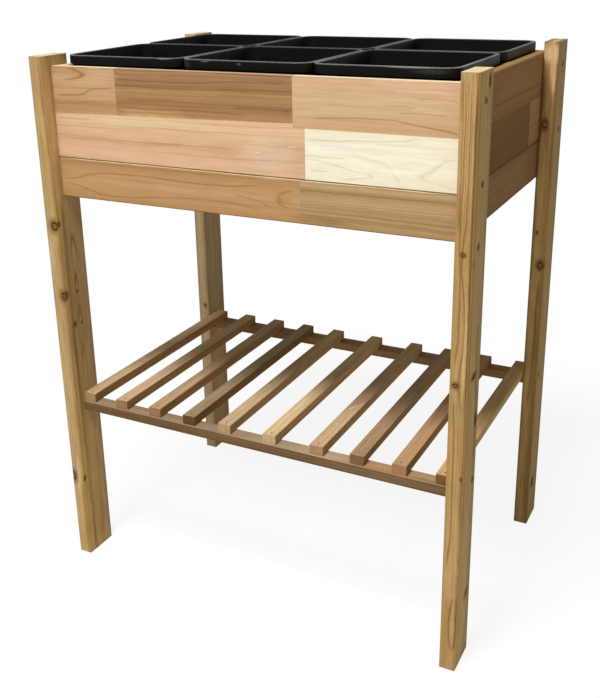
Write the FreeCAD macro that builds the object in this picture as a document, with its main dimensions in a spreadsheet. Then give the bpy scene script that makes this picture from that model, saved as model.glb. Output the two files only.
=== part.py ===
import FreeCAD, Part
import math
import os

import Sketcher

# A raised garden bed in cedar: four legs carry a box of tongue-and-groove boards at waist height and a
# slatted shelf below it. Six square moulded pots stand on the slatted floor of the box and lift out.
# Frame: X to the right along the front, Y to the back, Z up, origin on the floor under the middle.

doc = FreeCAD.newDocument("RaisedGardenBed")
sheet = doc.addObject("Spreadsheet::Sheet", "Sizes")

DRIVING_SIZES = {
    "leg_height": (914, "floor to the sawn top of a leg"),
    "leg_thick": (25, "leg, left to right"),
    "leg_width": (63.5, "leg, front to back"),
    "leg_edge_radius": (2, "rounding of a leg's long edges"),
    "board_thick": (16, "panel boards"),
    "panel_setback": (22.5, "outer face of a front or rear board behind the face of its legs"),
    "panel_drop": (16.5, "top of the panels below the top of the legs"),
    "upper_board_height": (147, "face height of an upper board"),
    "lower_board_height": (66, "face height of a lower board"),
    "board_bevel": (1.5, "small bevel on the outer edges of the boards"),
    "tongue_thick": (5, "tongue on the lower boards"),
    "tongue_height": (6, "tongue on the lower boards"),
    "tongue_clearance": (0.25, "each side of the tongue and above it"),
    "pot_rim": (217.5, "a pot over its rim, both ways"),
    "pot_gap": (1, "between the rims of two pots"),
    "rim_overlap": (1.5, "how far a rim reaches over the panel beside it"),
    "rim_lift": (2.3, "underside of a rim above the panels"),
    "rim_skirt": (14, "height of the turned-down skirt of a rim"),
    "rim_radius": (26, "outer corner of a rim"),
    "rim_edge_radius": (1.4, "rounding along the top of a rim"),
    "pot_wall": (1.8, "moulded wall, also of the rim"),
    "skirt_gap": (2.6, "hollow between the skirt and the wall"),
    "pot_taper": (17, "how far each wall leans in from top to base"),
    "pot_base_radius": (16, "outer corner of the base"),
    "pot_foot": (3, "height of the foot ring under the base"),
    "pot_foot_width": (9, "width of the foot ring"),
    "pot_base_thick": (2.4, "base plate"),
    "drain_bore": (14, "drain hole in the base"),
    "drain_inset": (34, "drain hole from the two sides of the base"),
    "pot_seat": (0.3, "gap under a pot that stands on the floor slats"),
    "stick_width": (23.5, "width of the shelf and floor slats"),
    "stick_thick": (16.5, "thickness of the slats"),
    "stick_edge_radius": (1, "rounding of a slat's long edges"),
    "worn_edge_radius": (3.5, "rounding under the two slats with softer edges"),
    "shelf_height": (289.5, "floor to the underside of the shelf rails"),
    "rail_thick": (16.5, "shelf rail, top to bottom"),
    "rail_depth": (26, "shelf rail, front to back"),
    "slat_pitch": (70, "shelf slats in the left and right groups"),
    "slat_end_setback": (3.5, "slat ends behind the face of the rails"),
    "cleat_height": (16.5, "floor cleat, top to bottom"),
    "cleat_depth": (24, "floor cleat, front to back"),
    "floor_slat_spread": (55, "floor slats from the middle of the pots above them"),
    "end_gap": (0.5, "at each end of a rail, cleat or floor slat"),
    "screw_shank": (4, "screw shank diameter"),
    "screw_head": (8, "screw head diameter"),
    "screw_sink": (0.8, "top of a screw head below the wood"),
    "screw_point": (5, "length of a screw's point"),
    "screw_fit": (0.2, "hole over screw, on the diameter"),
    "end_grain_bite": (25, "screw in the end of a board"),
    "side_grain_bite": (13, "screw in the side of a leg or slat"),
    "board_bite": (10, "screw in the inner face of a board"),
    "panel_screw_top": (20.5, "upper panel screw below the top of the board"),
    "panel_screw_bottom": (16.5, "lower panel screw above the bottom of the upper board"),
    "shelf_screw_edge": (15, "shelf screw from the inner edge of the leg"),
    "cleat_screw_end": (60, "outer cleat screws from the ends of the cleat"),
    "nail_shank": (1.8, "nail shank diameter"),
    "nail_head": (3, "nail head diameter"),
    "nail_head_thick": (1, "nail head"),
    "nail_fit": (0.1, "hole over nail, on the diameter"),
    "nail_bite": (11, "nail in a rail or cleat"),
}
for row, (alias, (millimetres, meaning)) in enumerate(DRIVING_SIZES.items(), 1):
    sheet.set(f"A{row}", alias)
    sheet.set(f"B{row}", str(millimetres))
    sheet.set(f"C{row}", meaning)
    sheet.setAlias(f"B{row}", alias)
doc.recompute()

POT_COLUMNS = (-1, 0, 1)
POT_ROWS = (-0.5, 0.5)
LEFT_SLATS = 5
RIGHT_SLATS = 4
WORN_SLATS = (8, 10)
CLEAT_SCREWS = 4
COUNTERSINK_ANGLE = 90
FULL_TURN = 360
TINY = 1e-6


def size(name):
    return f"Sizes.{name}"


# The bed is built around its pots: three rims long and two rims deep, less what the rims lap over.
POT_PITCH = "(Sizes.pot_rim + Sizes.pot_gap)"
INNER_LENGTH = "(3 * Sizes.pot_rim + 2 * Sizes.pot_gap - 2 * Sizes.rim_overlap)"
INNER_DEPTH = "(2 * Sizes.pot_rim + Sizes.pot_gap - 2 * Sizes.rim_overlap)"
LEG_SPAN = f"({INNER_LENGTH} + 2 * Sizes.board_thick)"
PANEL_DEPTH = f"({INNER_DEPTH} + 2 * Sizes.board_thick)"
OVERALL_DEPTH = f"({PANEL_DEPTH} + 2 * Sizes.panel_setback)"

# Heights above the floor.
BED_TOP = "(Sizes.leg_height - Sizes.panel_drop)"
BOARD_JOINT = f"({BED_TOP} - Sizes.upper_board_height)"
BED_BOTTOM = f"({BOARD_JOINT} - Sizes.lower_board_height)"
CLEAT_TOP = f"({BED_BOTTOM} + Sizes.cleat_height)"
FLOOR_TOP = f"({CLEAT_TOP} + Sizes.stick_thick)"
POT_BASE = f"({FLOOR_TOP} + Sizes.pot_seat)"
POT_HEIGHT = f"({BED_TOP} + Sizes.rim_lift + Sizes.rim_skirt - {POT_BASE})"
RAIL_TOP = "(Sizes.shelf_height + Sizes.rail_thick)"
SHELF_TOP = f"({RAIL_TOP} + Sizes.stick_thick)"

# Fastener places shared by the screws and by the holes that take them.
HIGH_SCREW = f"({BED_TOP} - Sizes.panel_screw_top)"
LOW_SCREW = f"({BOARD_JOINT} + Sizes.panel_screw_bottom)"
LOWER_BOARD_SCREW = f"({BED_BOTTOM} + Sizes.lower_board_height / 2)"
SHELF_SCREW = f"({RAIL_TOP} + Sizes.stick_thick / 2)"
CLEAT_SCREW = f"({BED_BOTTOM} + Sizes.cleat_height / 2)"
PANEL_SCREW_Y = f"({PANEL_DEPTH} / 2 - Sizes.board_thick / 2)"
SHELF_SCREW_Y = f"({OVERALL_DEPTH} / 2 - Sizes.leg_width + Sizes.shelf_screw_edge)"
LEG_LAP = "(Sizes.leg_width - Sizes.panel_setback - Sizes.board_thick)"
SIDE_SCREW_Y = f"({INNER_DEPTH} / 2 - {LEG_LAP} / 2)"
RAIL_Y = f"({PANEL_DEPTH} / 2 - Sizes.rail_depth / 2)"
CLEAT_Y = f"({INNER_DEPTH} / 2 - Sizes.cleat_depth / 2)"
SCREW_BORE = "(Sizes.screw_shank + Sizes.screw_fit)"
SCREW_MOUTH = "(Sizes.screw_head + 2 * Sizes.screw_sink + Sizes.screw_fit)"


def times(sign, length):
    """An expression for a length on the positive or negative side of the middle."""
    return f"{sign} * {length}"


def value(expression):
    return float(sheet.evalExpression(expression))


def origin_plane(body, role):
    return next(item for item in body.Origin.OriginFeatures if item.Role == role)


def new_sketch(body, name, role, offset=None):
    """An empty sketch on an origin plane of the body, moved along the plane's normal by an expression."""
    sketch = body.newObject("Sketcher::SketchObject", name)
    sketch.AttachmentSupport = [(origin_plane(body, role), "")]
    sketch.MapMode = "FlatFace"
    if offset:
        sketch.setExpression(".AttachmentOffset.Base.z", offset)
    return sketch


def hold(sketch, name, expression, kind, *places):
    """A named dimension of a sketch, bound to an expression."""
    index = sketch.addConstraint(Sketcher.Constraint(kind, *places, value(expression)))
    sketch.renameConstraint(index, name)
    sketch.setExpression(f"Constraints.{name}", expression)


def outline(body, name, role, corners, offset=None):
    """A closed outline of straight edges, each corner held by two expressions from the origin."""
    sketch = new_sketch(body, name, role, offset)
    points = [FreeCAD.Vector(value(across), value(up), 0) for across, up in corners]
    for index, point in enumerate(points):
        sketch.addGeometry(Part.LineSegment(point, points[(index + 1) % len(points)]))
    for index, (across, up) in enumerate(corners):
        following = (index + 1) % len(points)
        sketch.addConstraint(Sketcher.Constraint("Coincident", index, 2, following, 1))
        hold(sketch, f"across{index}", across, "DistanceX", -1, 1, index, 1)
        hold(sketch, f"up{index}", up, "DistanceY", -1, 1, index, 1)
    return sketch


def rounded_square(body, name, side, radius, height):
    """A square outline with round corners about the Z axis, at a height."""
    sketch = new_sketch(body, name, "XY_Plane", height)
    half = value(side) / 2
    corner = value(radius)
    for turn in range(4):
        start = turn * math.pi / 2
        rotation = FreeCAD.Rotation(FreeCAD.Vector(0, 0, 1), math.degrees(start))
        foot = rotation.multVec(FreeCAD.Vector(half, corner - half, 0))
        head = rotation.multVec(FreeCAD.Vector(half, half - corner, 0))
        centre = rotation.multVec(FreeCAD.Vector(half - corner, half - corner, 0))
        circle = Part.Circle(centre, FreeCAD.Vector(0, 0, 1), corner)
        sketch.addGeometry(Part.LineSegment(foot, head))
        sketch.addGeometry(Part.ArcOfCircle(circle, start, start + math.pi / 2))
    for turn in range(4):
        line = 2 * turn
        arc = line + 1
        sketch.addConstraint(Sketcher.Constraint("Tangent", line, 2, arc, 1))
        sketch.addConstraint(Sketcher.Constraint("Tangent", arc, 2, (line + 2) % 8, 1))
        sketch.addConstraint(Sketcher.Constraint("Horizontal" if turn % 2 else "Vertical", line))
    for arc in (3, 5, 7):
        sketch.addConstraint(Sketcher.Constraint("Equal", 1, arc))
    sketch.addConstraint(Sketcher.Constraint("Symmetric", 1, 3, 5, 3, -1, 1))
    hold(sketch, "corner", radius, "Radius", 1)
    hold(sketch, "wide", side, "DistanceX", 4, 1, 0, 2)
    hold(sketch, "deep", side, "DistanceY", 6, 1, 2, 2)
    return sketch


def hole_marks(body, name, role, places, bore, offset=None):
    """Circles that mark where holes are drilled, each centre held by two expressions."""
    sketch = new_sketch(body, name, role, offset)
    for index, (across, up) in enumerate(places):
        centre = FreeCAD.Vector(value(across), value(up), 0)
        sketch.addGeometry(Part.Circle(centre, FreeCAD.Vector(0, 0, 1), value(bore) / 2))
        hold(sketch, f"across{index}", across, "DistanceX", -1, 1, index, 3)
        hold(sketch, f"up{index}", up, "DistanceY", -1, 1, index, 3)
        hold(sketch, f"bore{index}", bore, "Diameter", index)
    return sketch


def pad(body, sketch, length, symmetric=False):
    feature = body.newObject("PartDesign::Pad", f"{sketch.Name}Pad")
    feature.Profile = sketch
    feature.setExpression("Length", length)
    if symmetric:
        feature.SideType = "Symmetric"
    return feature


def drill(body, sketch, bore, depth=None, mouth=None, head_depth=None, reverse=False):
    """Holes at a sketch's circles: blind or right through, plain, countersunk or counterbored."""
    doc.recompute()
    before = body.Tip.Shape.Volume
    feature = body.newObject("PartDesign::Hole", f"{sketch.Name}Holes")
    feature.Profile = sketch
    feature.ThreadType = "None"
    feature.DrillPoint = "Flat"
    feature.setExpression("Diameter", bore)
    feature.DepthType = "Dimension" if depth else "ThroughAll"
    if depth:
        feature.setExpression("Depth", depth)
    if mouth:
        feature.HoleCutType = "Counterbore" if head_depth else "Countersink"
        feature.HoleCutCustomValues = True
        feature.setExpression("HoleCutDiameter", mouth)
    if head_depth:
        feature.setExpression("HoleCutDepth", head_depth)
    elif mouth:
        feature.HoleCutCountersinkAngle = COUNTERSINK_ANGLE
    feature.Reversed = reverse
    doc.recompute()
    if feature.Shape.Volume >= before:
        raise RuntimeError(f"{feature.Name} of {body.Label} drills no wood")
    return feature


def round_edges(body, wanted, radius):
    """Rounds the edges of the body so far that the test picks."""
    doc.recompute()
    base = body.Tip
    names = [f"Edge{n}" for n, edge in enumerate(base.Shape.Edges, 1) if wanted(edge)]
    feature = body.newObject("PartDesign::Fillet", "RoundedEdges")
    feature.Base = (base, names)
    feature.setExpression("Radius", radius)
    return feature


def runs_along(axis):
    """A test for edges that run straight along X, Y or Z."""
    spare = [name for name in ("XLength", "YLength", "ZLength") if name[0] != axis]
    return lambda edge: all(getattr(edge.BoundBox, name) < TINY for name in spare)


def place(item, across="0", back="0", up="0", turn=0):
    """Sets the object's Placement: three expressions and a turn about Z in degrees."""
    item.Placement.Rotation = FreeCAD.Rotation(FreeCAD.Vector(0, 0, 1), turn)
    item.setExpression(".Placement.Base.x", across)
    item.setExpression(".Placement.Base.y", back)
    item.setExpression(".Placement.Base.z", up)


def new_body(label):
    body = doc.addObject("PartDesign::Body", label)
    body.Label = label
    sub_parts.append(body)
    return body


sub_parts = []


# Legs: 5/4 boards on edge. Panel screws and a shelf screw go in from the outer face, and the screws
# of the side boards end in the inner face. A leg's own origin is the middle of its foot.
def make_leg(label, side, end):
    body = new_body(label)
    half_x = size("leg_thick") + " / 2"
    half_y = size("leg_width") + " / 2"
    corners = [
        (f"-{half_x}", f"-{half_y}"),
        (half_x, f"-{half_y}"),
        (half_x, half_y),
        (f"-{half_x}", half_y),
    ]
    pad(body, outline(body, "Section", "XY_Plane", corners), size("leg_height"))
    round_edges(body, runs_along("Z"), size("leg_edge_radius"))
    middle = f"({OVERALL_DEPTH} / 2 - Sizes.leg_width / 2)"
    panel_y = times(end, f"({PANEL_SCREW_Y} - {middle})")
    shelf_y = times(end, f"({SHELF_SCREW_Y} - {middle})")
    outer = [(panel_y, HIGH_SCREW), (panel_y, LOW_SCREW), (shelf_y, SHELF_SCREW)]
    marks = hole_marks(body, "OuterScrews", "YZ_Plane", outer, SCREW_BORE, times(side, half_x))
    drill(body, marks, SCREW_BORE, mouth=SCREW_MOUTH, reverse=side < 0)
    side_y = times(end, f"({SIDE_SCREW_Y} - {middle})")
    inner = [(side_y, HIGH_SCREW), (side_y, LOW_SCREW), (side_y, LOWER_BOARD_SCREW)]
    marks = hole_marks(body, "SideBoardScrews", "YZ_Plane", inner, SCREW_BORE, times(-side, half_x))
    drill(body, marks, SCREW_BORE, depth=size("side_grain_bite"), reverse=side > 0)
    place(body, times(side, f"({LEG_SPAN} / 2 + {half_x})"), times(end, middle))


for end, end_name in ((-1, "front"), (1, "rear")):
    for side, side_name in ((-1, "left"), (1, "right")):
        make_leg(f"leg_{end_name}_{side_name}", side, end)


# Panel boards: the section has the outer face at y = 0 and the inner face at board_thick, and runs
# along X. An upper board is grooved underneath for the tongue of the lower one.
THICK = size("board_thick")
BEVEL = size("board_bevel")
FAR_BEVEL = f"({THICK} - {BEVEL})"
TONGUE_NEAR = f"(({THICK} - Sizes.tongue_thick) / 2)"
TONGUE_FAR = f"(({THICK} + Sizes.tongue_thick) / 2)"
GROOVE_NEAR = f"({TONGUE_NEAR} - Sizes.tongue_clearance)"
GROOVE_FAR = f"({TONGUE_FAR} + Sizes.tongue_clearance)"
GROOVE_DEPTH = "(Sizes.tongue_height + Sizes.tongue_clearance)"


def upper_board(label, length):
    body = new_body(label)
    top = size("upper_board_height")
    corners = [
        (BEVEL, "0"), (GROOVE_NEAR, "0"), (GROOVE_NEAR, GROOVE_DEPTH), (GROOVE_FAR, GROOVE_DEPTH),
        (GROOVE_FAR, "0"), (THICK, "0"), (THICK, f"{top} - {BEVEL}"), (FAR_BEVEL, top),
        (BEVEL, top), ("0", f"{top} - {BEVEL}"), ("0", BEVEL),
    ]
    pad(body, outline(body, "GroovedSection", "YZ_Plane", corners), length, symmetric=True)
    return body


def lower_board(label, length):
    body = new_body(label)
    top = size("lower_board_height")
    crest = f"{top} + Sizes.tongue_height"
    corners = [
        (BEVEL, "0"), (FAR_BEVEL, "0"), (THICK, BEVEL), (THICK, top), (TONGUE_FAR, top),
        (TONGUE_FAR, crest), (TONGUE_NEAR, crest), (TONGUE_NEAR, top), (BEVEL, top),
        ("0", f"{top} - {BEVEL}"), ("0", BEVEL),
    ]
    pad(body, outline(body, "TonguedSection", "YZ_Plane", corners), length, symmetric=True)
    return body


def cleat_screw_places():
    """Places along a cleat, evenly spread between the two outer screws."""
    reach = f"({INNER_LENGTH} / 2 - Sizes.cleat_screw_end)"
    return [f"{reach} * {2 * index / (CLEAT_SCREWS - 1) - 1}" for index in range(CLEAT_SCREWS)]


# Front and rear boards stand between the legs. The panel screws end in the upper boards' end grain,
# and the cleat screws in the inner face of the lower boards.
for end, end_name, turn in ((-1, "front", 0), (1, "rear", 180)):
    outer_face = times(end, f"({PANEL_DEPTH} / 2)")
    board = upper_board(f"{end_name}_upper_board", LEG_SPAN)
    ends = [
        (f"{THICK} / 2", f"{HIGH_SCREW} - {BOARD_JOINT}"),
        (f"{THICK} / 2", f"{LOW_SCREW} - {BOARD_JOINT}"),
    ]
    for side, side_name in ((-1, "Left"), (1, "Right")):
        end_face = times(side, f"{LEG_SPAN} / 2")
        marks = hole_marks(board, f"{side_name}End", "YZ_Plane", ends, SCREW_BORE, end_face)
        drill(board, marks, SCREW_BORE, depth=size("end_grain_bite"), reverse=side < 0)
    place(board, back=outer_face, up=BOARD_JOINT, turn=turn)

    board = lower_board(f"{end_name}_lower_board", LEG_SPAN)
    inside = [(across, f"{CLEAT_SCREW} - {BED_BOTTOM}") for across in cleat_screw_places()]
    marks = hole_marks(board, "CleatScrews", "XZ_Plane", inside, SCREW_BORE, f"-{THICK}")
    drill(board, marks, SCREW_BORE, depth=size("board_bite"), reverse=True)
    place(board, back=outer_face, up=BED_BOTTOM, turn=turn)

# Side boards stand between the front and rear boards and lap the inner faces of the legs. Screws go
# through them from inside the bed.
for side, side_name, turn in ((-1, "left", -90), (1, "right", 90)):
    outer_face = times(side, f"({LEG_SPAN} / 2)")
    for make, height, marks_at, bottom in (
        (upper_board, "upper", (HIGH_SCREW, LOW_SCREW), BOARD_JOINT),
        (lower_board, "lower", (LOWER_BOARD_SCREW,), BED_BOTTOM),
    ):
        board = make(f"{side_name}_{height}_board", INNER_DEPTH)
        through = [
            (times(end, SIDE_SCREW_Y), f"{mark} - {bottom}")
            for mark in marks_at
            for end in (-1, 1)
        ]
        marks = hole_marks(board, "LegScrews", "XZ_Plane", through, SCREW_BORE, f"-{THICK}")
        drill(board, marks, SCREW_BORE, mouth=SCREW_MOUTH, reverse=True)
        place(board, across=outer_face, up=bottom, turn=turn)


# Sticks: planed strips with eased edges for the shelf and the floor. The section is centred on the
# stick's own X axis, with the underside at z = 0.
def stick(label, role, length, width, thick):
    body = new_body(label)
    half = f"{width} / 2"
    corners = [(f"-{half}", "0"), (half, "0"), (half, thick), (f"-{half}", thick)]
    pad(body, outline(body, "StickSection", role, corners), length, symmetric=True)
    return body


def runs_underneath(edge):
    """Whether an edge runs along the underside of a slat."""
    return runs_along("Y")(edge) and edge.BoundBox.ZMax < TINY


NAIL_BORE = "(Sizes.nail_shank + Sizes.nail_fit)"
NAIL_MOUTH = "(Sizes.nail_head + Sizes.nail_fit)"


def nail_down(body, nail_y):
    """Counterbored nail holes through a slat at both ends."""
    places = [("0", f"-{nail_y}"), ("0", nail_y)]
    marks = hole_marks(body, "Nails", "XY_Plane", places, NAIL_BORE, size("stick_thick"))
    drill(body, marks, NAIL_BORE, mouth=NAIL_MOUTH, head_depth=size("nail_head_thick"))


def take_nails(body, nail_places, top):
    """Blind nail holes in the top of a rail or cleat."""
    places = [(across, "0") for across in nail_places]
    marks = hole_marks(body, "Nails", "XY_Plane", places, NAIL_BORE, top)
    drill(body, marks, NAIL_BORE, depth=size("nail_bite"))


def shelf_slat_places():
    """Middles of the shelf slats: two groups against the legs and one slat between the groups."""
    outermost = f"({LEG_SPAN} / 2 - Sizes.stick_width / 2)"
    left = [f"(Sizes.slat_pitch * {n} - {outermost})" for n in range(LEFT_SLATS)]
    right = [f"({outermost} - Sizes.slat_pitch * {n})" for n in reversed(range(RIGHT_SLATS))]
    return left + [f"(({left[-1]} + {right[0]}) / 2)"] + right


def floor_slat_places():
    """Middles of the floor slats: two under each column of pots."""
    return [
        f"({POT_PITCH} * {column} + Sizes.floor_slat_spread * {side})"
        for column in POT_COLUMNS
        for side in (-1, 1)
    ]


# Shelf: two rails between the legs with ten slats nailed across them. The end slats lie against the
# legs and take the shelf screws in their sides.
for end, end_name in ((-1, "front"), (1, "rear")):
    rail_length = f"{LEG_SPAN} - 2 * Sizes.end_gap"
    label = f"shelf_{end_name}_rail"
    rail = stick(label, "YZ_Plane", rail_length, size("rail_depth"), size("rail_thick"))
    round_edges(rail, runs_along("X"), size("stick_edge_radius"))
    take_nails(rail, shelf_slat_places(), size("rail_thick"))
    place(rail, back=times(end, RAIL_Y), up=size("shelf_height"))

SLAT_LENGTH = f"({PANEL_DEPTH} - 2 * Sizes.slat_end_setback)"
for number, middle in enumerate(shelf_slat_places(), 1):
    label = f"shelf_slat_{number:02d}"
    slat = stick(label, "XZ_Plane", SLAT_LENGTH, size("stick_width"), size("stick_thick"))
    if number in WORN_SLATS:
        round_edges(slat, runs_underneath, size("worn_edge_radius"))
    else:
        round_edges(slat, runs_along("Y"), size("stick_edge_radius"))
    nail_down(slat, RAIL_Y)
    outward = {1: -1, LEFT_SLATS + 1 + RIGHT_SLATS: 1}.get(number)
    if outward:
        sides = [(times(end, SHELF_SCREW_Y), "Sizes.stick_thick / 2") for end in (-1, 1)]
        face = times(outward, "Sizes.stick_width / 2")
        marks = hole_marks(slat, "LegScrews", "YZ_Plane", sides, SCREW_BORE, face)
        drill(slat, marks, SCREW_BORE, depth=size("side_grain_bite"), reverse=outward < 0)
    place(slat, across=middle, up=RAIL_TOP)

# Floor of the bed: two cleats screwed to the lower boards from inside, and six slats nailed to them.
for end, end_name in ((-1, "front"), (1, "rear")):
    cleat_length = f"{INNER_LENGTH} - 2 * Sizes.end_gap"
    label = f"floor_{end_name}_cleat"
    cleat = stick(label, "YZ_Plane", cleat_length, size("cleat_depth"), size("cleat_height"))
    round_edges(cleat, runs_along("X"), size("stick_edge_radius"))
    take_nails(cleat, floor_slat_places(), size("cleat_height"))
    across_cleat = [(across, "Sizes.cleat_height / 2") for across in cleat_screw_places()]
    inner_face = times(end, "Sizes.cleat_depth / 2")
    marks = hole_marks(cleat, "BoardScrews", "XZ_Plane", across_cleat, SCREW_BORE, inner_face)
    drill(cleat, marks, SCREW_BORE, mouth=SCREW_MOUTH, reverse=end < 0)
    place(cleat, back=times(end, CLEAT_Y), up=BED_BOTTOM)

FLOOR_SLAT_LENGTH = f"({INNER_DEPTH} - 2 * Sizes.end_gap)"
for number, middle in enumerate(floor_slat_places(), 1):
    label = f"floor_slat_{number}"
    slat = stick(label, "XZ_Plane", FLOOR_SLAT_LENGTH, size("stick_width"), size("stick_thick"))
    round_edges(slat, runs_along("Y"), size("stick_edge_radius"))
    nail_down(slat, CLEAT_Y)
    place(slat, across=middle, up=CLEAT_TOP)


# Pots: moulded shells. A block the size of the rim is hollowed from below into a lip and skirt, the
# tapered body is lofted through it, the inside is lofted away, and a foot ring is left under the base.
def make_pot(label, column, row):
    body = new_body(label)
    lip_width = "(Sizes.pot_wall + Sizes.skirt_gap + Sizes.pot_wall)"
    wall_top = "(Sizes.pot_rim - 2 * (Sizes.pot_wall + Sizes.skirt_gap))"
    wall_top_radius = "(Sizes.rim_radius - Sizes.pot_wall - Sizes.skirt_gap)"
    mouth_radius = f"(Sizes.rim_radius - {lip_width})"
    base = f"({wall_top} - 2 * Sizes.pot_taper)"
    inner_base = f"({base} - 2 * Sizes.pot_wall)"
    inner_base_radius = "(Sizes.pot_base_radius - Sizes.pot_wall)"
    skirt_foot = f"({POT_HEIGHT} - Sizes.rim_skirt)"
    base_top = "(Sizes.pot_foot + Sizes.pot_base_thick)"

    rim = rounded_square(body, "RimOutline", size("pot_rim"), size("rim_radius"), skirt_foot)
    pad(body, rim, size("rim_skirt"))
    doc.recompute()
    skirt_inside = "Sizes.pot_rim - 2 * Sizes.pot_wall"
    skirt_radius = "Sizes.rim_radius - Sizes.pot_wall"
    inside_skirt = rounded_square(body, "SkirtHollow", skirt_inside, skirt_radius, skirt_foot)
    hollow = body.newObject("PartDesign::Pocket", "SkirtPocket")
    hollow.Profile = inside_skirt
    hollow.Reversed = True
    hollow.setExpression("Length", "Sizes.rim_skirt - Sizes.pot_wall")
    doc.recompute()

    outer_loft = body.newObject("PartDesign::AdditiveLoft", "TaperedBody")
    outer_loft.Profile = rounded_square(body, "BaseOutline", base, size("pot_base_radius"), "0")
    outer_loft.Sections = [rounded_square(body, "WallTopOutline", wall_top, wall_top_radius, POT_HEIGHT)]
    outer_loft.Ruled = True
    doc.recompute()
    inner_loft = body.newObject("PartDesign::SubtractiveLoft", "Inside")
    inner_loft.Profile = rounded_square(body, "InnerBase", inner_base, inner_base_radius, base_top)
    mouth = f"(Sizes.pot_rim - 2 * {lip_width})"
    inner_loft.Sections = [rounded_square(body, "Mouth", mouth, mouth_radius, POT_HEIGHT)]
    inner_loft.Ruled = True
    doc.recompute()

    foot_inside = f"({base} - 2 * Sizes.pot_foot_width)"
    recess = body.newObject("PartDesign::Pocket", "FootRecess")
    recess.Profile = rounded_square(body, "FootInside", foot_inside, inner_base_radius, "0")
    recess.Reversed = True
    recess.setExpression("Length", size("pot_foot"))
    drain = f"({base} / 2 - Sizes.drain_inset)"
    corners = [(times(x, drain), times(y, drain)) for x in (-1, 1) for y in (-1, 1)]
    marks = hole_marks(body, "Drains", "XY_Plane", corners, size("drain_bore"), base_top)
    drill(body, marks, size("drain_bore"))
    top = value(POT_HEIGHT) - TINY
    round_edges(body, lambda edge: edge.BoundBox.ZMin > top, size("rim_edge_radius"))
    place(body, f"{POT_PITCH} * {column}", f"{POT_PITCH} * {row}", POT_BASE)


for row, row_name in zip(POT_ROWS, ("front", "rear")):
    for column, column_name in zip(POT_COLUMNS, ("left", "middle", "right")):
        make_pot(f"pot_{row_name}_{column_name}", column, row)


# Screws and nails: turned once along X or Z, then set out as groups of copies.
def turned(name, corners, axis):
    body = doc.addObject("PartDesign::Body", name)
    role = "XZ_Plane" if axis == "V_Axis" else "XY_Plane"
    profile = outline(body, "HalfSection", role, corners)
    feature = body.newObject("PartDesign::Revolution", f"{name}Turned")
    feature.Profile = profile
    feature.ReferenceAxis = (profile, [axis])
    feature.Angle = FULL_TURN
    return body


def screw(name, passes, bite):
    """A countersunk screw along +X from the wood's face at x = 0, as long as what it passes and bites."""
    head = "Sizes.screw_head / 2"
    shank = "Sizes.screw_shank / 2"
    length = f"({passes} + {bite})"
    return turned(name, [
        ("Sizes.screw_sink", "0"),
        ("Sizes.screw_sink", head),
        (f"Sizes.screw_sink + {head} - {shank}", shank),
        (f"{length} - Sizes.screw_point", shank),
        (length, "0"),
    ], "H_Axis")


def nail(name, passes):
    """A flat-headed nail down from the wood's face at z = 0."""
    head = "Sizes.nail_head / 2"
    shank = "Sizes.nail_shank / 2"
    length = f"({passes} + Sizes.nail_bite)"
    return turned(name, [
        ("0", "0"),
        ("0", f"-{length}"),
        (shank, f"-{length} + {shank}"),
        (shank, "-Sizes.nail_head_thick"),
        (head, "-Sizes.nail_head_thick"),
        (head, "0"),
    ], "V_Axis")


def group(label, fastener, places):
    """One node of separate fasteners, each a copy with its own place and turn about Z."""
    copies = []
    for index, (across, back, up, turn) in enumerate(places, 1):
        copy = doc.addObject("App::Link", f"{label}_{index}")
        copy.LinkedObject = fastener
        place(copy, across, back, up, turn)
        copies.append(copy)
    compound = doc.addObject("Part::Compound", label)
    compound.Label = label
    compound.Links = copies
    sub_parts.append(compound)


SIDES = ((-1, 0), (1, 180))
LEG_FACE = f"({LEG_SPAN} / 2 + Sizes.leg_thick)"
group("panel_screws", screw("PanelScrew", size("leg_thick"), size("end_grain_bite")), [
    (times(side, LEG_FACE), times(end, PANEL_SCREW_Y), height, turn)
    for side, turn in SIDES for end in (-1, 1) for height in (HIGH_SCREW, LOW_SCREW)
])
group("shelf_screws", screw("ShelfScrew", size("leg_thick"), size("side_grain_bite")), [
    (times(side, LEG_FACE), times(end, SHELF_SCREW_Y), SHELF_SCREW, turn)
    for side, turn in SIDES for end in (-1, 1)
])
group("side_board_screws", screw("SideBoardScrew", size("board_thick"), size("side_grain_bite")), [
    (times(side, f"({INNER_LENGTH} / 2)"), times(end, SIDE_SCREW_Y), height, turn + 180)
    for side, turn in SIDES for end in (-1, 1) for height in (HIGH_SCREW, LOW_SCREW, LOWER_BOARD_SCREW)
])
group("cleat_screws", screw("CleatScrew", size("cleat_depth"), size("board_bite")), [
    (times(-end, across), times(end, f"({INNER_DEPTH} / 2 - Sizes.cleat_depth)"), CLEAT_SCREW, 90 * end)
    for end in (-1, 1) for across in cleat_screw_places()
])
slat_nail = nail("SlatNail", size("stick_thick"))
group("shelf_slat_nails", slat_nail, [
    (across, times(end, RAIL_Y), SHELF_TOP, 0) for across in shelf_slat_places() for end in (-1, 1)
])
group("floor_slat_nails", slat_nail, [
    (across, times(end, CLEAT_Y), FLOOR_TOP, 0) for across in floor_slat_places() for end in (-1, 1)
])

doc.recompute()
faulty = [item.Name for item in doc.Objects if {"Invalid", "Error"} & set(item.State)]
faulty += [item.Label for item in sub_parts if item.Shape.isNull() or not item.Shape.isValid()]
if faulty:
    raise RuntimeError("these did not build: " + ", ".join(faulty))

os.makedirs("parts", exist_ok=True)
for item in sub_parts:
    item.Shape.exportStep(f"parts/{item.Label}.step")
    print(f"{item.Label}: {len(item.Shape.Solids)} solids, {item.Shape.Volume / 1000:.1f} cm3")
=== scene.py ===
import math

import bmesh
import bpy
from mathutils import Matrix, Vector


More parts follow.
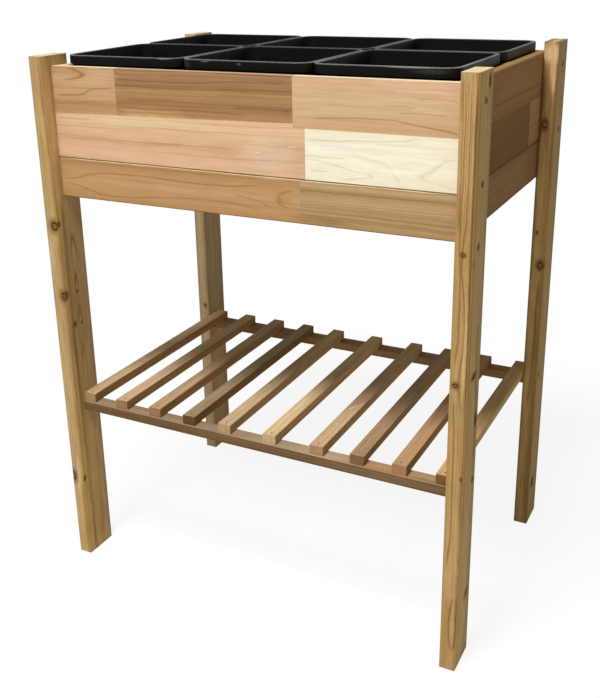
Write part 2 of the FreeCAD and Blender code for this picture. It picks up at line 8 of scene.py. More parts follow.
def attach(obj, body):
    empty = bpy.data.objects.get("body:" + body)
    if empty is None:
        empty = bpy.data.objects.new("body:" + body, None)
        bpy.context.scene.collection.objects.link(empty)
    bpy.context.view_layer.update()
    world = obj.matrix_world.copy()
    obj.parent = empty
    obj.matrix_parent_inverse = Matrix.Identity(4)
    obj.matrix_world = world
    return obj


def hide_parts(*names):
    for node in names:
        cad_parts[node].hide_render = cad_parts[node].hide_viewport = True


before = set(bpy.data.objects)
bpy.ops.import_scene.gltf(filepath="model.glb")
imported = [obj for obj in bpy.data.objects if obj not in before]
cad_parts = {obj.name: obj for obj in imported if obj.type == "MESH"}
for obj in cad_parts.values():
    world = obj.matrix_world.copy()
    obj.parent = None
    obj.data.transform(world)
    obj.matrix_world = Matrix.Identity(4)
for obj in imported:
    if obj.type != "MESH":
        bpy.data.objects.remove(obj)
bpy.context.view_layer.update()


# Legs: four flat boards of knotty red cedar set on edge, planed, with eased long edges and ends sawn
# square. The panels and the shelf are screwed to them from outside.
def linear(colour):
    """An sRGB hex colour as linear red, green and blue, with an alpha of 1."""
    shares = [int(colour[place:place + 2], 16) / 255 for place in (0, 2, 4)]
    return (*(c / 12.92 if c <= 0.04045 else ((c + 0.055) / 1.055) ** 2.4 for c in shares), 1)


def add(tree, kind, inputs=None, output=0, **settings):
    """Adds a shader node with its settings, links or fills its inputs, and returns one of its outputs."""
    node = tree.nodes.new("ShaderNode" + kind)
    for name, setting in settings.items():
        setattr(node, name, setting)
    for name, given in (inputs or {}).items():
        if isinstance(given, bpy.types.NodeSocket):
            tree.links.new(given, node.inputs[name])
        else:
            node.inputs[name].default_value = given
    return node.outputs[output]


# A Mix node takes colours at inputs 6 and 7 and gives theirs at output 2, and vectors at 4, 5 and 1. A Map
# Range node takes a range at inputs 1 and 2 and the new one at 3 and 4, and a smooth step eases in and out.
COLOURS = dict(output=2, data_type="RGBA")
VECTORS = dict(output=1, data_type="VECTOR")
SMOOTH = dict(interpolation_type="SMOOTHSTEP")


def new_material(name):
    """A material with a Principled shader: its node tree and the shader."""
    material = bpy.data.materials.new(name)
    material.use_nodes = True
    return material, material.node_tree, material.node_tree.nodes["Principled BSDF"]


# Raw cedar, planed and left without a finish, so it is dull. Bands of colour run with the grain and wander
# with it, thin lines of late wood follow them, and knots push both aside. Staves are lengths of board, each
# with bands for its broad face and its edge, as millimetres across the grain and a colour, and a figure:
# how strong its lines are, how far the grain wanders and how far apart the lines are, in millimetres.
LATE_WOOD = linear("C4AF94")
SAP_LINE = linear("D2CFB4")
PALE_FIBRE_AND_HIGHLIGHT = linear("F8E2BE")
KNOT_HALO = linear("6E4A28")
KNOT_RINGS = [(0.0, linear("3A2616")), (0.25, linear("8E6A42")), (0.5, linear("7E5A34")),
              (0.78, linear("34200F")), (1.0, linear("2A190C"))]
LINE_DEPTHS = [(0.0, (0, 0, 0, 1)), (0.4, (0.3, 0.3, 0.3, 1)), (0.62, (1, 1, 1, 1)), (1.0, (0, 0, 0, 1))]


def set_stops(ramp, stops):
    """Gives a colour ramp its stops, as places from 0 to 1 and colours."""
    elements = ramp.node.color_ramp.elements
    elements[0].color = stops[0][1]
    elements[1].color = stops[-1][1]
    for place, colour in stops[1:-1]:
        elements.new(place).color = colour


def cedar(name, grain, staves, knots=(), lines=(), grey_lines=(), pale_lines=(), patches=(), fuzz=0.1,
          fibre_length=30, bevel=1.0, board_edge=None):
    material, tree, shader = new_material(name)
    place = add(tree, "TexCoord", output="Object")
    place = add(tree, "VectorMath", {0: place, "Scale": 1000.0}, operation="SCALE")
    axes = add(tree, "SeparateXYZ", {0: place}).node.outputs
    along, across, depth = (axes[letter] for letter in grain)
    wood = add(tree, "CombineXYZ", {0: along, 1: across, 2: depth})
    normal = add(tree, "NewGeometry", output="Normal")
    normal = add(tree, "VectorMath", {0: normal}, operation="ABSOLUTE")
    facing = add(tree, "SeparateXYZ", {0: normal}).node.outputs
    sawn = add(tree, "MapRange", {0: facing[grain[0]], 1: 0.7, 2: 0.9})
    edge = add(tree, "Math", {0: facing[grain[1]], 1: 0.8}, operation="GREATER_THAN")
    shown = add(tree, "Mix", {0: edge, 2: across, 3: depth}, data_type="FLOAT")

    # Each stave keeps to its place on the board, and draws its noise from another part of the pattern.
    masks = []
    seed = (0.0, 0.0, 0.0)
    figure = staves[0]["figure"]
    for number, stave in enumerate(staves):
        tilted = add(tree, "Math", {0: along, 1: stave.get("tilt", 0.0), 2: across},
                     operation="MULTIPLY_ADD")
        here = 1.0
        for limit, socket, test in (("start", along, "GREATER_THAN"), ("end", along, "LESS_THAN"),
                                    ("above", tilted, "GREATER_THAN"), ("below", tilted, "LESS_THAN")):
            if limit in stave:
                inside = add(tree, "Math", {0: socket, 1: stave[limit]}, operation=test)
                here = add(tree, "Math", {0: here, 1: inside}, operation="MULTIPLY")
        masks.append(here)
        if number:
            seed = add(tree, "Mix", {0: here, 4: seed, 5: (7.3 * number, 3.1 * number, 0.0)}, **VECTORS)
            figure = add(tree, "Mix", {0: here, 4: figure, 5: stave["figure"]}, **VECTORS)
    figure = add(tree, "SeparateXYZ", {0: figure}).node.outputs

    # Noise drawn out along the grain, by millimetres along and across: how the grain wanders and ripples, its
    # fibres, which are finer than a photograph shows and so are drawn wider, and a soft mottle.
    noises = []
    for length, width, detail, roughness in ((220, 60, 2.0, 0.5), (35, 10, 2.0, 0.5),
                                             (fibre_length, 1.4, 3.0, 0.6), (60, 8, 2.0, 0.5)):
        spread = add(tree, "VectorMath", {0: wood, 1: (1 / length, 1 / width, 1 / width), 2: seed},
                     operation="MULTIPLY_ADD")
        noises.append(add(tree, "TexNoise", {"Vector": spread, "Scale": 1.0, "Detail": detail,
                                             "Roughness": roughness}))
    drift, ripple, fibre, mottle = noises
    drift = add(tree, "MapRange", {0: drift, 1: 0.3, 2: 0.7, 3: -1.0, 4: 1.0}, clamp=False)
    ripple = add(tree, "MapRange", {0: ripple, 1: 0.3, 2: 0.7, 3: -0.6, 4: 0.6}, clamp=False)
    flow = add(tree, "Math", {0: drift, 1: figure["Y"], 2: shown}, operation="MULTIPLY_ADD")
    flow = add(tree, "Math", {0: flow, 1: ripple}, operation="ADD")

    # Knots: branches cut across, given by place along and across the grain, radius and stretch.
    branches = []
    for knot_along, knot_across, radius, stretch in knots:
        u = add(tree, "Math", {0: shown, 1: knot_across}, operation="SUBTRACT")
        v = add(tree, "Math", {0: along, 1: knot_along}, operation="SUBTRACT")
        v = add(tree, "Math", {0: v, 1: stretch}, operation="DIVIDE")
        reach = add(tree, "CombineXYZ", {0: u, 1: v})
        reach = add(tree, "VectorMath", {0: reach}, output="Value", operation="LENGTH")
        reach = add(tree, "Math", {0: ripple, 1: 0.9, 2: reach}, operation="MULTIPLY_ADD")
        reach = add(tree, "Math", {0: reach, 1: radius}, operation="DIVIDE")
        push = add(tree, "MapRange", {0: reach, 1: 0.6, 2: 3.0, 3: 1.0, 4: 0.0}, **SMOOTH)
        lean = add(tree, "MapRange", {0: u, 1: -radius, 2: radius, 3: radius, 4: -radius})
        flow = add(tree, "Math", {0: push, 1: lean, 2: flow}, operation="MULTIPLY_ADD")
        branches.append(reach)

    colour = (0.0, 0.0, 0.0, 1)
    for here, stave in zip(masks, staves):
        tones = []
        for stops in (stave["face"], stave.get("edge", board_edge or stave["face"])):
            if isinstance(stops, str):
                tones.append(linear(stops))
                continue
            low = stops[0][0]
            width = stops[-1][0] - low
            tone = add(tree, "MapRange", {0: flow, 1: low, 2: low + width})
            tone = add(tree, "ValToRGB", {0: tone})
            set_stops(tone, [((millimetres - low) / width, linear(shade)) for millimetres, shade in stops])
            tones.append(tone)
        tone = add(tree, "Mix", {0: edge, 6: tones[0], 7: tones[1]}, **COLOURS)
        if "end_grain" in stave:
            tone = add(tree, "Mix", {0: sawn, 6: tone, 7: linear(stave["end_grain"])}, **COLOURS)
        colour = add(tree, "Mix", {0: here, 6: colour, 7: tone}, **COLOURS)

    # Bevels on the boards are darkened by a share: painted shade.
    painted_bevel_shade = add(tree, "Math", {0: facing[grain[1]], 1: 0.7, 2: 0.15}, operation="COMPARE")
    colour = add(tree, "Mix", {0: painted_bevel_shade, 6: colour, 7: (bevel, bevel, bevel, 1)}, **COLOURS,
                 blend_type="MULTIPLY")

    # Patches: places where the wood is paler or darker, and places with painted light and painted shade, as
    # middle and half size along and across the grain, and for some a slope.
    for shade, strength, middle, half, *slope in patches:
        u = add(tree, "Math", {0: along, 1: middle[0]}, operation="SUBTRACT")
        v = add(tree, "Math", {0: u, 1: -slope[0] if slope else 0.0, 2: shown}, operation="MULTIPLY_ADD")
        v = add(tree, "Math", {0: v, 1: middle[1]}, operation="SUBTRACT")
        reach = add(tree, "CombineXYZ", {0: u, 1: v})
        reach = add(tree, "VectorMath", {0: reach, 1: (1 / half[0], 1 / half[1], 0.0)}, operation="MULTIPLY")
        reach = add(tree, "VectorMath", {0: reach}, output="Value", operation="LENGTH")
        reach = add(tree, "Math", {0: ripple, 1: 0.35, 2: reach}, operation="MULTIPLY_ADD")
        reach = add(tree, "MapRange", {0: reach, 1: 0.35, 2: 1.15, 3: strength, 4: 0.0}, **SMOOTH)
        colour = add(tree, "Mix", {0: reach, 6: colour, 7: linear(shade)}, **COLOURS)

    # Late wood: lines that hold for most of a metre along the grain.
    far = add(tree, "Math", {0: along, 1: 1 / 600}, operation="MULTIPLY")
    late = add(tree, "Math", {0: flow, 1: figure["Z"]}, operation="DIVIDE")
    late = add(tree, "CombineXYZ", {0: far, 1: late})
    late = add(tree, "VectorMath", {0: late, 1: seed}, operation="ADD")
    late = add(tree, "TexNoise", {"Vector": late, "Scale": 1.0, "Detail": 3.0, "Roughness": 0.6})
    late = add(tree, "MapRange", {0: late, 1: 0.46, 2: 0.7}, **SMOOTH)
    late = add(tree, "Math", {0: late, 1: figure["X"]}, operation="MULTIPLY")

    # Lines that the eye picks out, as half width, strength and points along and across the grain. One that
    # turns back on itself is the point of an arch. Each darkens to one side and fades at its ends. Most are
    # dark, like late wood. Grey ones are in sapwood. Pale ones are raised fibres, except the one along the
    # joint of the front panel, which is a painted highlight on the lit edge of the lower board.
    inks = {"dark": late, "grey": 0.0, "pale": 0.0}
    drawn = [("dark", *line) for line in lines] + [("grey", *line) for line in grey_lines]
    drawn += [("pale", *line) for line in pale_lines]
    for shade, half, strength, *points in drawn:
        steps = [after[0] - before[0] for before, after in zip(points, points[1:])]
        arch = min(steps) < 0 < max(steps)
        run, rise, wobble = (shown, along, 4.0) if arch else (along, shown, 0.7)
        points = sorted((b, a) if arch else (a, b) for a, b in points)
        start, end = points[0][0], points[-1][0]
        low = min(point[1] for point in points)
        width = max(point[1] for point in points) - low + 0.01
        part = add(tree, "MapRange", {0: run, 1: start, 2: end})
        path = add(tree, "FloatCurve", {"Value": part})
        curve = path.node.mapping.curves[0]
        curve.points[0].location = (0.0, (points[0][1] - low) / width)
        curve.points[1].location = (1.0, (points[-1][1] - low) / width)
        for a, b in points[1:-1]:
            curve.points.new((a - start) / (end - start), (b - low) / width)
        path.node.mapping.update()
        path = add(tree, "Math", {0: path, 1: width, 2: low}, operation="MULTIPLY_ADD")
        off = add(tree, "Math", {0: ripple, 1: wobble, 2: rise}, operation="MULTIPLY_ADD")
        off = add(tree, "Math", {0: off, 1: path}, operation="SUBTRACT")
        ink = add(tree, "MapRange", {0: off, 1: -2.2 * half, 2: 1.4 * half})
        ink = add(tree, "ValToRGB", {0: ink})
        set_stops(ink, LINE_DEPTHS)
        inner = add(tree, "Math", {0: part, 1: 0.5}, operation="PINGPONG")
        inner = add(tree, "MapRange", {0: inner, 1: 0.0, 2: 0.1, 3: 0.0, 4: strength}, **SMOOTH)
        ink = add(tree, "Math", {0: ink, 1: inner}, operation="MULTIPLY")
        inks[shade] = add(tree, "Math", {0: inks[shade], 1: ink}, operation="MAXIMUM")
    dark = add(tree, "Math", {0: inks["dark"], 1: sawn}, operation="SUBTRACT", use_clamp=True)
    colour = add(tree, "Mix", {0: dark, 6: colour, 7: LATE_WOOD}, **COLOURS, blend_type="MULTIPLY")
    colour = add(tree, "Mix", {0: inks["grey"], 6: colour, 7: SAP_LINE}, **COLOURS, blend_type="MULTIPLY")
    colour = add(tree, "Mix", {0: inks["pale"], 6: colour, 7: PALE_FIBRE_AND_HIGHLIGHT}, **COLOURS)

    # Fibres and mottle make the wood lighter and darker by a share.
    tone = add(tree, "Math", {0: fibre, 1: mottle}, operation="ADD")
    tone = add(tree, "MapRange", {0: tone, 1: 0.65, 2: 1.35, 3: 1 - fuzz, 4: 1 + fuzz})
    colour = add(tree, "HueSaturation", {"Value": tone, "Color": colour})

    for reach in branches:
        halo = add(tree, "MapRange", {0: reach, 1: 0.9, 2: 2.6, 3: 0.65, 4: 0.0}, **SMOOTH)
        colour = add(tree, "Mix", {0: halo, 6: colour, 7: KNOT_HALO}, **COLOURS)
        core = add(tree, "MapRange", {0: reach, 1: 0.8, 2: 1.1, 3: 1.0, 4: 0.0}, **SMOOTH)
        bark = add(tree, "ValToRGB", {0: reach})
        set_stops(bark, KNOT_RINGS)
        colour = add(tree, "Mix", {0: core, 6: colour, 7: bark}, **COLOURS)

    tree.links.new(colour, shader.inputs["Base Color"])
    dull = add(tree, "MapRange", {0: fibre, 1: 0.3, 2: 0.7, 3: 0.66, 4: 0.84})
    tree.links.new(dull, shader.inputs["Roughness"])
    shader.inputs["IOR"].default_value = 1.45
    shader.inputs["Specular IOR Level"].default_value = 0.04
    relief = add(tree, "Math", {0: dark, 1: -0.4, 2: fibre}, operation="MULTIPLY_ADD")
    bump = add(tree, "Bump", {"Strength": 0.35, "Distance": 0.0004, "Height": relief})
    tree.links.new(bump, shader.inputs["Normal"])
    return material


def dress(material, *nodes):
    """Puts a material on CAD nodes whose shape is right."""
    for node in nodes:
        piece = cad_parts[node]
        piece.data.materials.clear()
        piece.data.materials.append(material)


dress(cedar("cedar_leg_front_left", "ZXY", [
    dict(face=[(-367, "AE9064"), (-362, "BC9C6D"), (-355, "BF9F71"), (-349, "BB9968"), (-345, "B28E5C"),
               (-341, "A98453")],
         edge=[(-255, "B89257"), (-251, "BE975E"), (-247, "CCA76D"), (-243, "B49161"), (-239, "A18050"),
               (-234, "B39262"), (-225, "B79768"), (-210, "B5976A"), (-191, "AE916A")],
         figure=(0.45, 2.0, 3.5), end_grain="C7B99D"),
], knots=[
    (637, -347.5, 7.0, 1.15), (513, -341.5, 7.0, 1.1), (161, -363.5, 5.5, 1.7), (514, -252, 5.0, 1.1),
    (456, -235.5, 2.8, 1.3), (453, -218, 1.6, 1.2), (512, -222.5, 1.8, 1.2), (158, -252, 3.2, 1.2),
    (640, -252, 3.0, 1.3),
], lines=[
    (1.8, 0.8, (745, -344.5), (800, -345.5), (860, -347), (914, -348)),
    (1.2, 0.5, (190, -350), (330, -352), (470, -351), (600, -354)),
    (1.0, 0.4, (655, -356), (780, -357), (914, -358)),
    (1.0, 0.4, (10, -352), (70, -353), (140, -356)),
    (11.0, 1.0, (540, -210), (585, -214), (608, -221), (588, -228), (555, -231)),
    (9.0, 1.0, (500, -216), (525, -217.5), (541, -221), (530, -224.5), (503, -227)),
    (9.0, 0.9, (452, -215), (470, -217.5), (481, -221), (471, -224), (453, -227)),
    (9.0, 0.8, (365, -215), (390, -217), (406, -220), (394, -224), (370, -227)),
    (1.8, 0.7, (250, -241), (380, -241), (520, -240), (680, -240)),
    (3.0, 0.4, (5, -238), (130, -237), (280, -239)),
    (1.2, 0.4, (20, -217), (60, -216), (100, -218)),
], patches=[
    ("C6A87C", 0.6, (380, -353), (130, 12)), ("CFB588", 0.7, (158, -354), (48, 7), 0.04),
    ("96763E", 0.75, (70, -344.5), (90, 6)), ("D6BC90", 0.6, (580, -361), (50, 6)),
    ("A07E4C", 0.6, (580, -343.5), (55, 4.5)), ("AC8A56", 0.5, (300, -344.5), (120, 4.5)),
    # The second patch here is painted light on the right face, beside the front panel.
    ("BC9A64", 0.5, (800, -353), (120, 12)), ("D0AD76", 0.95, (800, -245), (140, 16)),
    ("A67C4A", 0.5, (60, -217), (70, 12)),
    ("C09C60", 0.5, (170, -226), (150, 30)), ("A28252", 0.5, (470, -222), (95, 28)),
], fuzz=0.19, fibre_length=7), "leg_front_left")
dress(cedar("cedar_leg_front_right", "ZXY", [
    dict(face=[(341, "A98A58"), (345, "B4925F"), (349, "BC9966"), (354, "BA9765"), (359, "B99664"),
               (363, "AE8A57"), (367, "9C7A48")],
         edge=[(-255, "C69F67"), (-250, "C29C64"), (-245, "B08E58"), (-239, "BC9B66"), (-225, "B99C6C"),
               (-210, "B49868"), (-200, "AB9163"), (-191, "A78D61")],
         figure=(0.4, 1.6, 3.0), end_grain="CABB9B"),
], knots=[
    (484, 350.7, 4.2, 1.0), (675, 354.2, 2.9, 1.0), (338, 366, 2.4, 1.1),
], lines=[
    (1.9, 1.0, (33, 361.5), (58, 356.2), (85, 354.6), (112, 356), (137, 362.5)),
    (1.6, 0.9, (36, 362), (75, 365.4), (110, 365.6), (136, 363)),
    (1.7, 1.0, (175, 346.3), (215, 349.5), (260, 352), (320, 351.6), (375, 351.5), (425, 350),
     (472, 347.2)),
    (1.7, 1.0, (494, 346.6), (530, 349.8), (580, 352), (640, 351.5), (700, 349), (800, 350.5),
     (914, 350)),
    (1.8, 1.0, (428, 363.4), (450, 359.3), (470, 356.8), (490, 355.8), (512, 356.8), (545, 359.2),
     (580, 359.6), (612, 357.6), (640, 354.6), (664, 352.6), (692, 354.4), (740, 357), (820, 357.4),
     (914, 356)),
    (1.8, 1.0, (425, 366), (500, 366), (590, 365.8), (650, 364.5), (700, 364.6), (800, 364.9),
     (914, 364.6)),
    (1.5, 0.9, (700, 345.5), (780, 347), (914, 346)),
    (1.3, 0.8, (690, 359.7), (760, 360.2), (914, 359)),
    (1.3, 0.8, (705, 353), (790, 353.8), (914, 353)),
    (4.0, 1.0, (335, -209), (400, -204.5), (440, -205.5), (490, -212), (575, -211)),
    (1.4, 0.5, (5, -243), (150, -246), (300, -243), (480, -246), (700, -247), (914, -246)),
], patches=[
    ("D6B480", 0.85, (545, 361.3), (105, 3.5)), ("D2B07C", 0.7, (835, 352), (110, 12)),
    ("A07E4C", 0.7, (800, 365.5), (150, 2.6)), ("D8B888", 0.7, (815, 361), (140, 2.2)),
    ("9E7F4C", 0.6, (60, 350), (85, 9)),
    ("BE9C6A", 0.5, (85, 360.5), (40, 4.5)), ("6A480C", 1.0, (487, -222), (8, 17), 0.2),
    ("583A04", 1.0, (412, -203), (14, 7)), ("66440A", 1.0, (115, -214), (13, 13), 0.3),
    ("68460C", 0.9, (680, -228), (8, 7)), ("66430A", 1.0, (899, -209), (13, 5.5)),
    ("98702F", 0.5, (660, -244), (8, 9)),
    # The next three patches are dark rings round the sunk screw heads: partly stain, partly painted shadow.
    ("34240A", 0.9, (875, -221), (6, 8)), ("34240A", 0.9, (765, -221), (6, 8)),
    ("34240A", 0.9, (312, -204), (6, 8)), ("C6A473", 0.5, (215, 355), (90, 11)),
    ("CDAE7E", 0.5, (150, -232), (170, 24)),
], fuzz=0.17, fibre_length=7), "leg_front_right")
dress(cedar("cedar_leg_rear_right", "ZXY", [
    dict(face=[(341, "745734"), (344, "937449"), (349, "B2925D"), (354, "AF8E5A"), (359, "A88755"),
               (363, "9C7D4E"), (367, "846842")],
         edge=[(191, "9B794B"), (200, "A88653"), (215, "A88C5C"), (235, "A68C60"), (248, "9C845A"),
               (255, "8A754D")],
         figure=(0.45, 2.0, 4.0), end_grain="7C6F55"),
], knots=[
    (528, 360, 5.6, 1.1), (778, 351, 5.0, 1.15), (588, 350, 1.8, 1.4),
], lines=[
    (2.0, 1.0, (245, 349.5), (300, 355.5), (350, 357), (470, 357.5), (510, 362)),
    (1.3, 0.6, (20, 351), (110, 350.5), (190, 350), (250, 347)),
    (1.3, 0.6, (560, 362), (640, 361), (710, 359), (760, 357)),
    (1.2, 0.5, (560, 352), (660, 350.5), (740, 352)),
], patches=[
    ("866C42", 0.75, (330, 362), (210, 5.5)), ("84693F", 0.7, (110, 361), (140, 8)),
    # The first patch here is painted shade on the upper front face.
    ("8C6C48", 0.85, (825, 353), (105, 13)),
    ("4A3216", 0.6, (528, 360), (15, 8)), ("422C14", 0.65, (778, 351), (15, 8)),
    # Painted light: a pale flame at the top of the front face, where light passes the panel.
    ("DEC298", 0.7, (895, 354), (18, 30)), ("D4B082", 0.8, (878, 358.5), (60, 6), -0.05),
    # The first patch here is a painted shadow of the panel down the left edge of the front face.
    ("4A3016", 0.55, (800, 343), (120, 4)), ("543A08", 0.95, (79, 216), (14, 15)),
    ("6E4E30", 0.6, (530, 195), (11, 6)), ("806040", 0.5, (720, 195), (90, 6)),
    # Dark rings round the sunk screw heads: partly stain, partly painted shadow.
    ("3A280C", 0.7, (875, 228), (6, 8)), ("3A280C", 0.7, (765, 228), (6, 8)),
    ("34240A", 0.9, (312, 209), (6, 8)),
], fuzz=0.18, fibre_length=7), "leg_rear_right")
dress(cedar("cedar_leg_rear_left", "ZXY", [
    dict(face=[(-367, "B29870"), (-358, "C2A882"), (-350, "BEA47E"), (-341, "A88C66")],
         edge=[(191, "AC906A"), (210, "B49A74"), (235, "B09670"), (255, "A68C66")],
         figure=(0.45, 2.0, 4.0), end_grain="C7B99D"),
], knots=[
    (344, -350.5, 2.6, 1.4), (610, 214, 4.0, 1.3),
], fuzz=0.16, fibre_length=7), "leg_rear_left")


# Panels: boards edge-glued from shorter staves of different trees, so their colours run from cream
# sapwood to brown heartwood. Upper and lower boards meet in a tongue and groove behind a fine dark line.
dress(cedar("cedar_front_panel", "XZY", [
    dict(face=[(750, "DBB390"), (768, "DDB592"), (786, "D6AC88"), (800, "DDB692"), (814, "E2BE98"),
               (828, "DFB994")], figure=(0.4, 3.0, 4.0)),
    dict(end=-217.5, above=829.3, tilt=-0.0185,
         face=[(824, "C0976B"), (832, "BC9266"), (843, "B68C62"), (848, "C69E73"), (862, "C8A177"),
               (880, "CAA47B"), (897, "C29A70")], figure=(0.3, 1.5, 4.0)),
    dict(start=-217.5, end=91.5, above=829.3, tilt=-0.0185,
         face=[(826, "B48B62"), (838, "AC835A"), (848, "A37C54"), (855, "AD8659"), (868, "B18B5D"),
               (872, "A17A55"), (882, "A27A57"), (892, "AA835F"), (897, "A87F5C")],
         edge="BEA487", figure=(0.5, 2.0, 2.5)),
    dict(start=91.5, above=825,
         face=[(825, "CDA77D"), (838, "D0AC82"), (850, "D4B189"), (875, "D6B38B"), (897, "D9B28D")],
         figure=(0.25, 2.0, 4.0)),
    dict(start=110.5, below=825, face=[(750, "F1E5C9"), (772, "F6EDD6"), (800, "F7EFD9"), (825, "F3E8CC")],
         figure=(0.12, 3.0, 5.0)),
    dict(below=750.4,
         face=[(684, "B2885A"), (697, "BA9163"), (715, "C2996B"), (733, "BC9365"), (743, "B78D5F"),
               (750, "B68C5E")], figure=(0.25, 2.0, 4.0)),
    dict(start=101, below=750.4,
         face=[(684, "A8845A"), (692, "B8966C"), (697, "A7855B"), (701, "B8976D"), (704, "A98860"),
               (708, "B6956B"), (711, "AA8A60"), (718, "BE9D74"), (730, "BB9A71"), (737, "A3825A"),
               (744, "C4A37A"), (750, "BE9B70")], figure=(0.5, 2.0, 2.0)),
], lines=[
    (9.0, 0.9, (-345, 875.5), (-305, 878), (-288, 881.5), (-281, 886), (-290, 891), (-312, 897)),
    (1.4, 0.5, (-305, 864), (-285, 865), (-262, 864)),
    (1.4, 0.8, (-335, 852), (-290, 854), (-272, 860), (-262, 864), (-235, 866), (-217, 868)),
    (1.5, 0.4, (-342, 838), (-300, 840), (-260, 845), (-217, 847)),
    (0.9, 0.8, (-225, 884), (-120, 880.5), (0, 885), (100, 886)),
    (0.9, 0.5, (-130, 890), (-20, 891.5), (95, 888)),
    (1.0, 0.8, (-230, 872), (-100, 871), (0, 874), (100, 876)),
    (1.2, 0.4, (-210, 862), (-100, 861), (-10, 863), (90, 860)),
    (1.4, 0.5, (-215, 853), (-120, 852), (-20, 851), (80, 853)),
    (2.0, 0.6, (-10, 847), (40, 848.5), (98, 849)),
    (1.4, 0.7, (-216, 842), (-150, 838), (-80, 840), (20, 838)),
    (1.1, 0.8, (115, 838), (170, 843), (230, 844), (272, 840), (340, 831)),
    (1.1, 0.8, (250, 842.5), (275, 839.5), (305, 835), (342, 830)),
    (1.2, 0.4, (228, 862), (250, 863), (278, 861)),
    (1.2, 0.4, (275, 873), (300, 875), (335, 872)),
    (1.2, 0.5, (250, 853), (280, 855), (320, 852)),
    (1.1, 0.8, (-350, 714), (-318, 717), (-270, 728), (-190, 732), (-80, 729), (0, 732), (48, 740)),
    (1.2, 0.65, (-345, 711), (-310, 706), (-280, 699), (-245, 694), (-150, 700), (-60, 705),
     (-10, 704), (45, 687)),
    (2.2, 0.35, (-345, 746), (-120, 745), (104, 746)),
    (0.9, 0.8, (-360, 750.9), (0, 750.9), (345, 750.9)),
    (6.0, 0.5, (104, 704), (78, 707), (64, 716), (76, 729), (104, 735)),
    (4.0, 0.6, (88, 705), (72, 708), (67, 712), (72, 716)),
    (1.3, 0.5, (-10, 717), (30, 712), (60, 700)),
    (1.2, 0.5, (-345, 787), (-200, 785), (-90, 787), (10, 785)),
    (1.6, 0.5, (-180, 786), (-140, 785), (-95, 786)),
    (2.0, 0.5, (-340, 815), (-300, 815.5), (-268, 814)),
], grey_lines=[
    (1.0, 0.65, (106, 813), (118, 810.5), (145, 810), (200, 813), (240, 815), (285, 824)),
    (1.0, 0.6, (104, 786.5), (125, 787), (145, 786), (172, 787)),
    (6.0, 0.5, (165, 755), (188, 759), (212, 765), (180, 771), (150, 778), (104, 784)),
    (3.0, 0.3, (175, 793), (215, 787), (238, 780), (248, 766), (260, 757)),
    (5.0, 0.45, (345, 755), (312, 762), (286, 768), (300, 780), (320, 793), (345, 798)),
    (2.0, 0.3, (294, 769), (302, 778), (313, 787)),
    (1.0, 0.6, (118, 765), (132, 765.7), (146, 765)),
], pale_lines=[
    (1.0, 0.25, (232, 868), (260, 872), (285, 869), (312, 874)),
    (1.0, 0.22, (245, 881), (280, 884), (325, 880)),
    (0.9, 0.25, (268, 858), (290, 861), (318, 857)),
    # Painted highlight: a pale line along the top edge of the lower board, at the joint.
    (0.6, 0.65, (-360, 749.5), (0, 749.5), (345, 749.5)),
    (0.8, 0.8, (84, 797), (90, 797.3), (96, 797)),
    (0.8, 0.7, (29, 785), (33, 785.3), (37, 785)),
    (1.1, 0.5, (-256, 767), (-254.6, 771), (-253.5, 776)),
    (1.1, 0.5, (32, 771), (34, 776), (35, 781)),
], patches=[
    ("D0AC84", 0.7, (-245, 884), (36, 14)), ("C9A072", 0.75, (-155, 832), (75, 8), 0.02),
    ("7A583C", 0.5, (80, 847), (6, 2.5)), ("DDB493", 0.6, (265, 889), (85, 13)),
    ("E0BF9F", 0.8, (52, 785), (50, 42)), ("E6C6A0", 0.6, (-150, 818), (180, 11)),
    ("C59E71", 0.5, (-120, 716), (200, 11)), ("B98E5E", 0.6, (75, 718), (14, 9)),
    ("9E7A50", 0.6, (130, 693), (50, 9)), ("F8F1D8", 0.6, (230, 790), (50, 26)),
], fuzz=0.09, bevel=0.62, board_edge="EAD6B2"), "front_upper_board", "front_lower_board")
dress(cedar("cedar_right_panel", "YZX", [
    dict(face=[(750, "725432"), (790, "755633"), (825, "7C5C39")], figure=(0.3, 3.0, 4.0)),
    dict(above=825,
         face=[(825, "87653E"), (840, "8F6C45"), (862, "947148"), (885, "8F6C44"), (897, "947148")],
         figure=(0.3, 3.0, 5.0)),
    dict(start=122.4, below=825, face=[(750, "956E4A"), (785, "9E7852"), (825, "A07A56")],
         figure=(0.3, 3.0, 5.0)),
    dict(below=750.4, face=[(684, "826243"), (710, "8D6C47"), (735, "8B6B46"), (750, "7C5D3A")],
         figure=(0.3, 3.0, 4.0)),
], lines=[
    (1.8, 0.7, (-110, 843), (0, 848), (110, 846), (200, 850)),
    (1.4, 0.5, (-160, 886), (-60, 891), (60, 891), (190, 884)),
    (1.4, 0.5, (120, 788), (155, 782), (200, 786)),
    (1.4, 0.4, (-190, 722), (-40, 716), (120, 724)),
], patches=[
    # The second patch here is a painted shadow of the front right leg on the front of the upper board.
    ("966C40", 0.6, (150, 862), (80, 34)), ("86663C", 0.6, (-170, 862), (130, 40)),
    ("7E5A38", 0.6, (160, 718), (70, 34)),
], fuzz=0.06, board_edge="927349"), "right_upper_board", "right_lower_board")
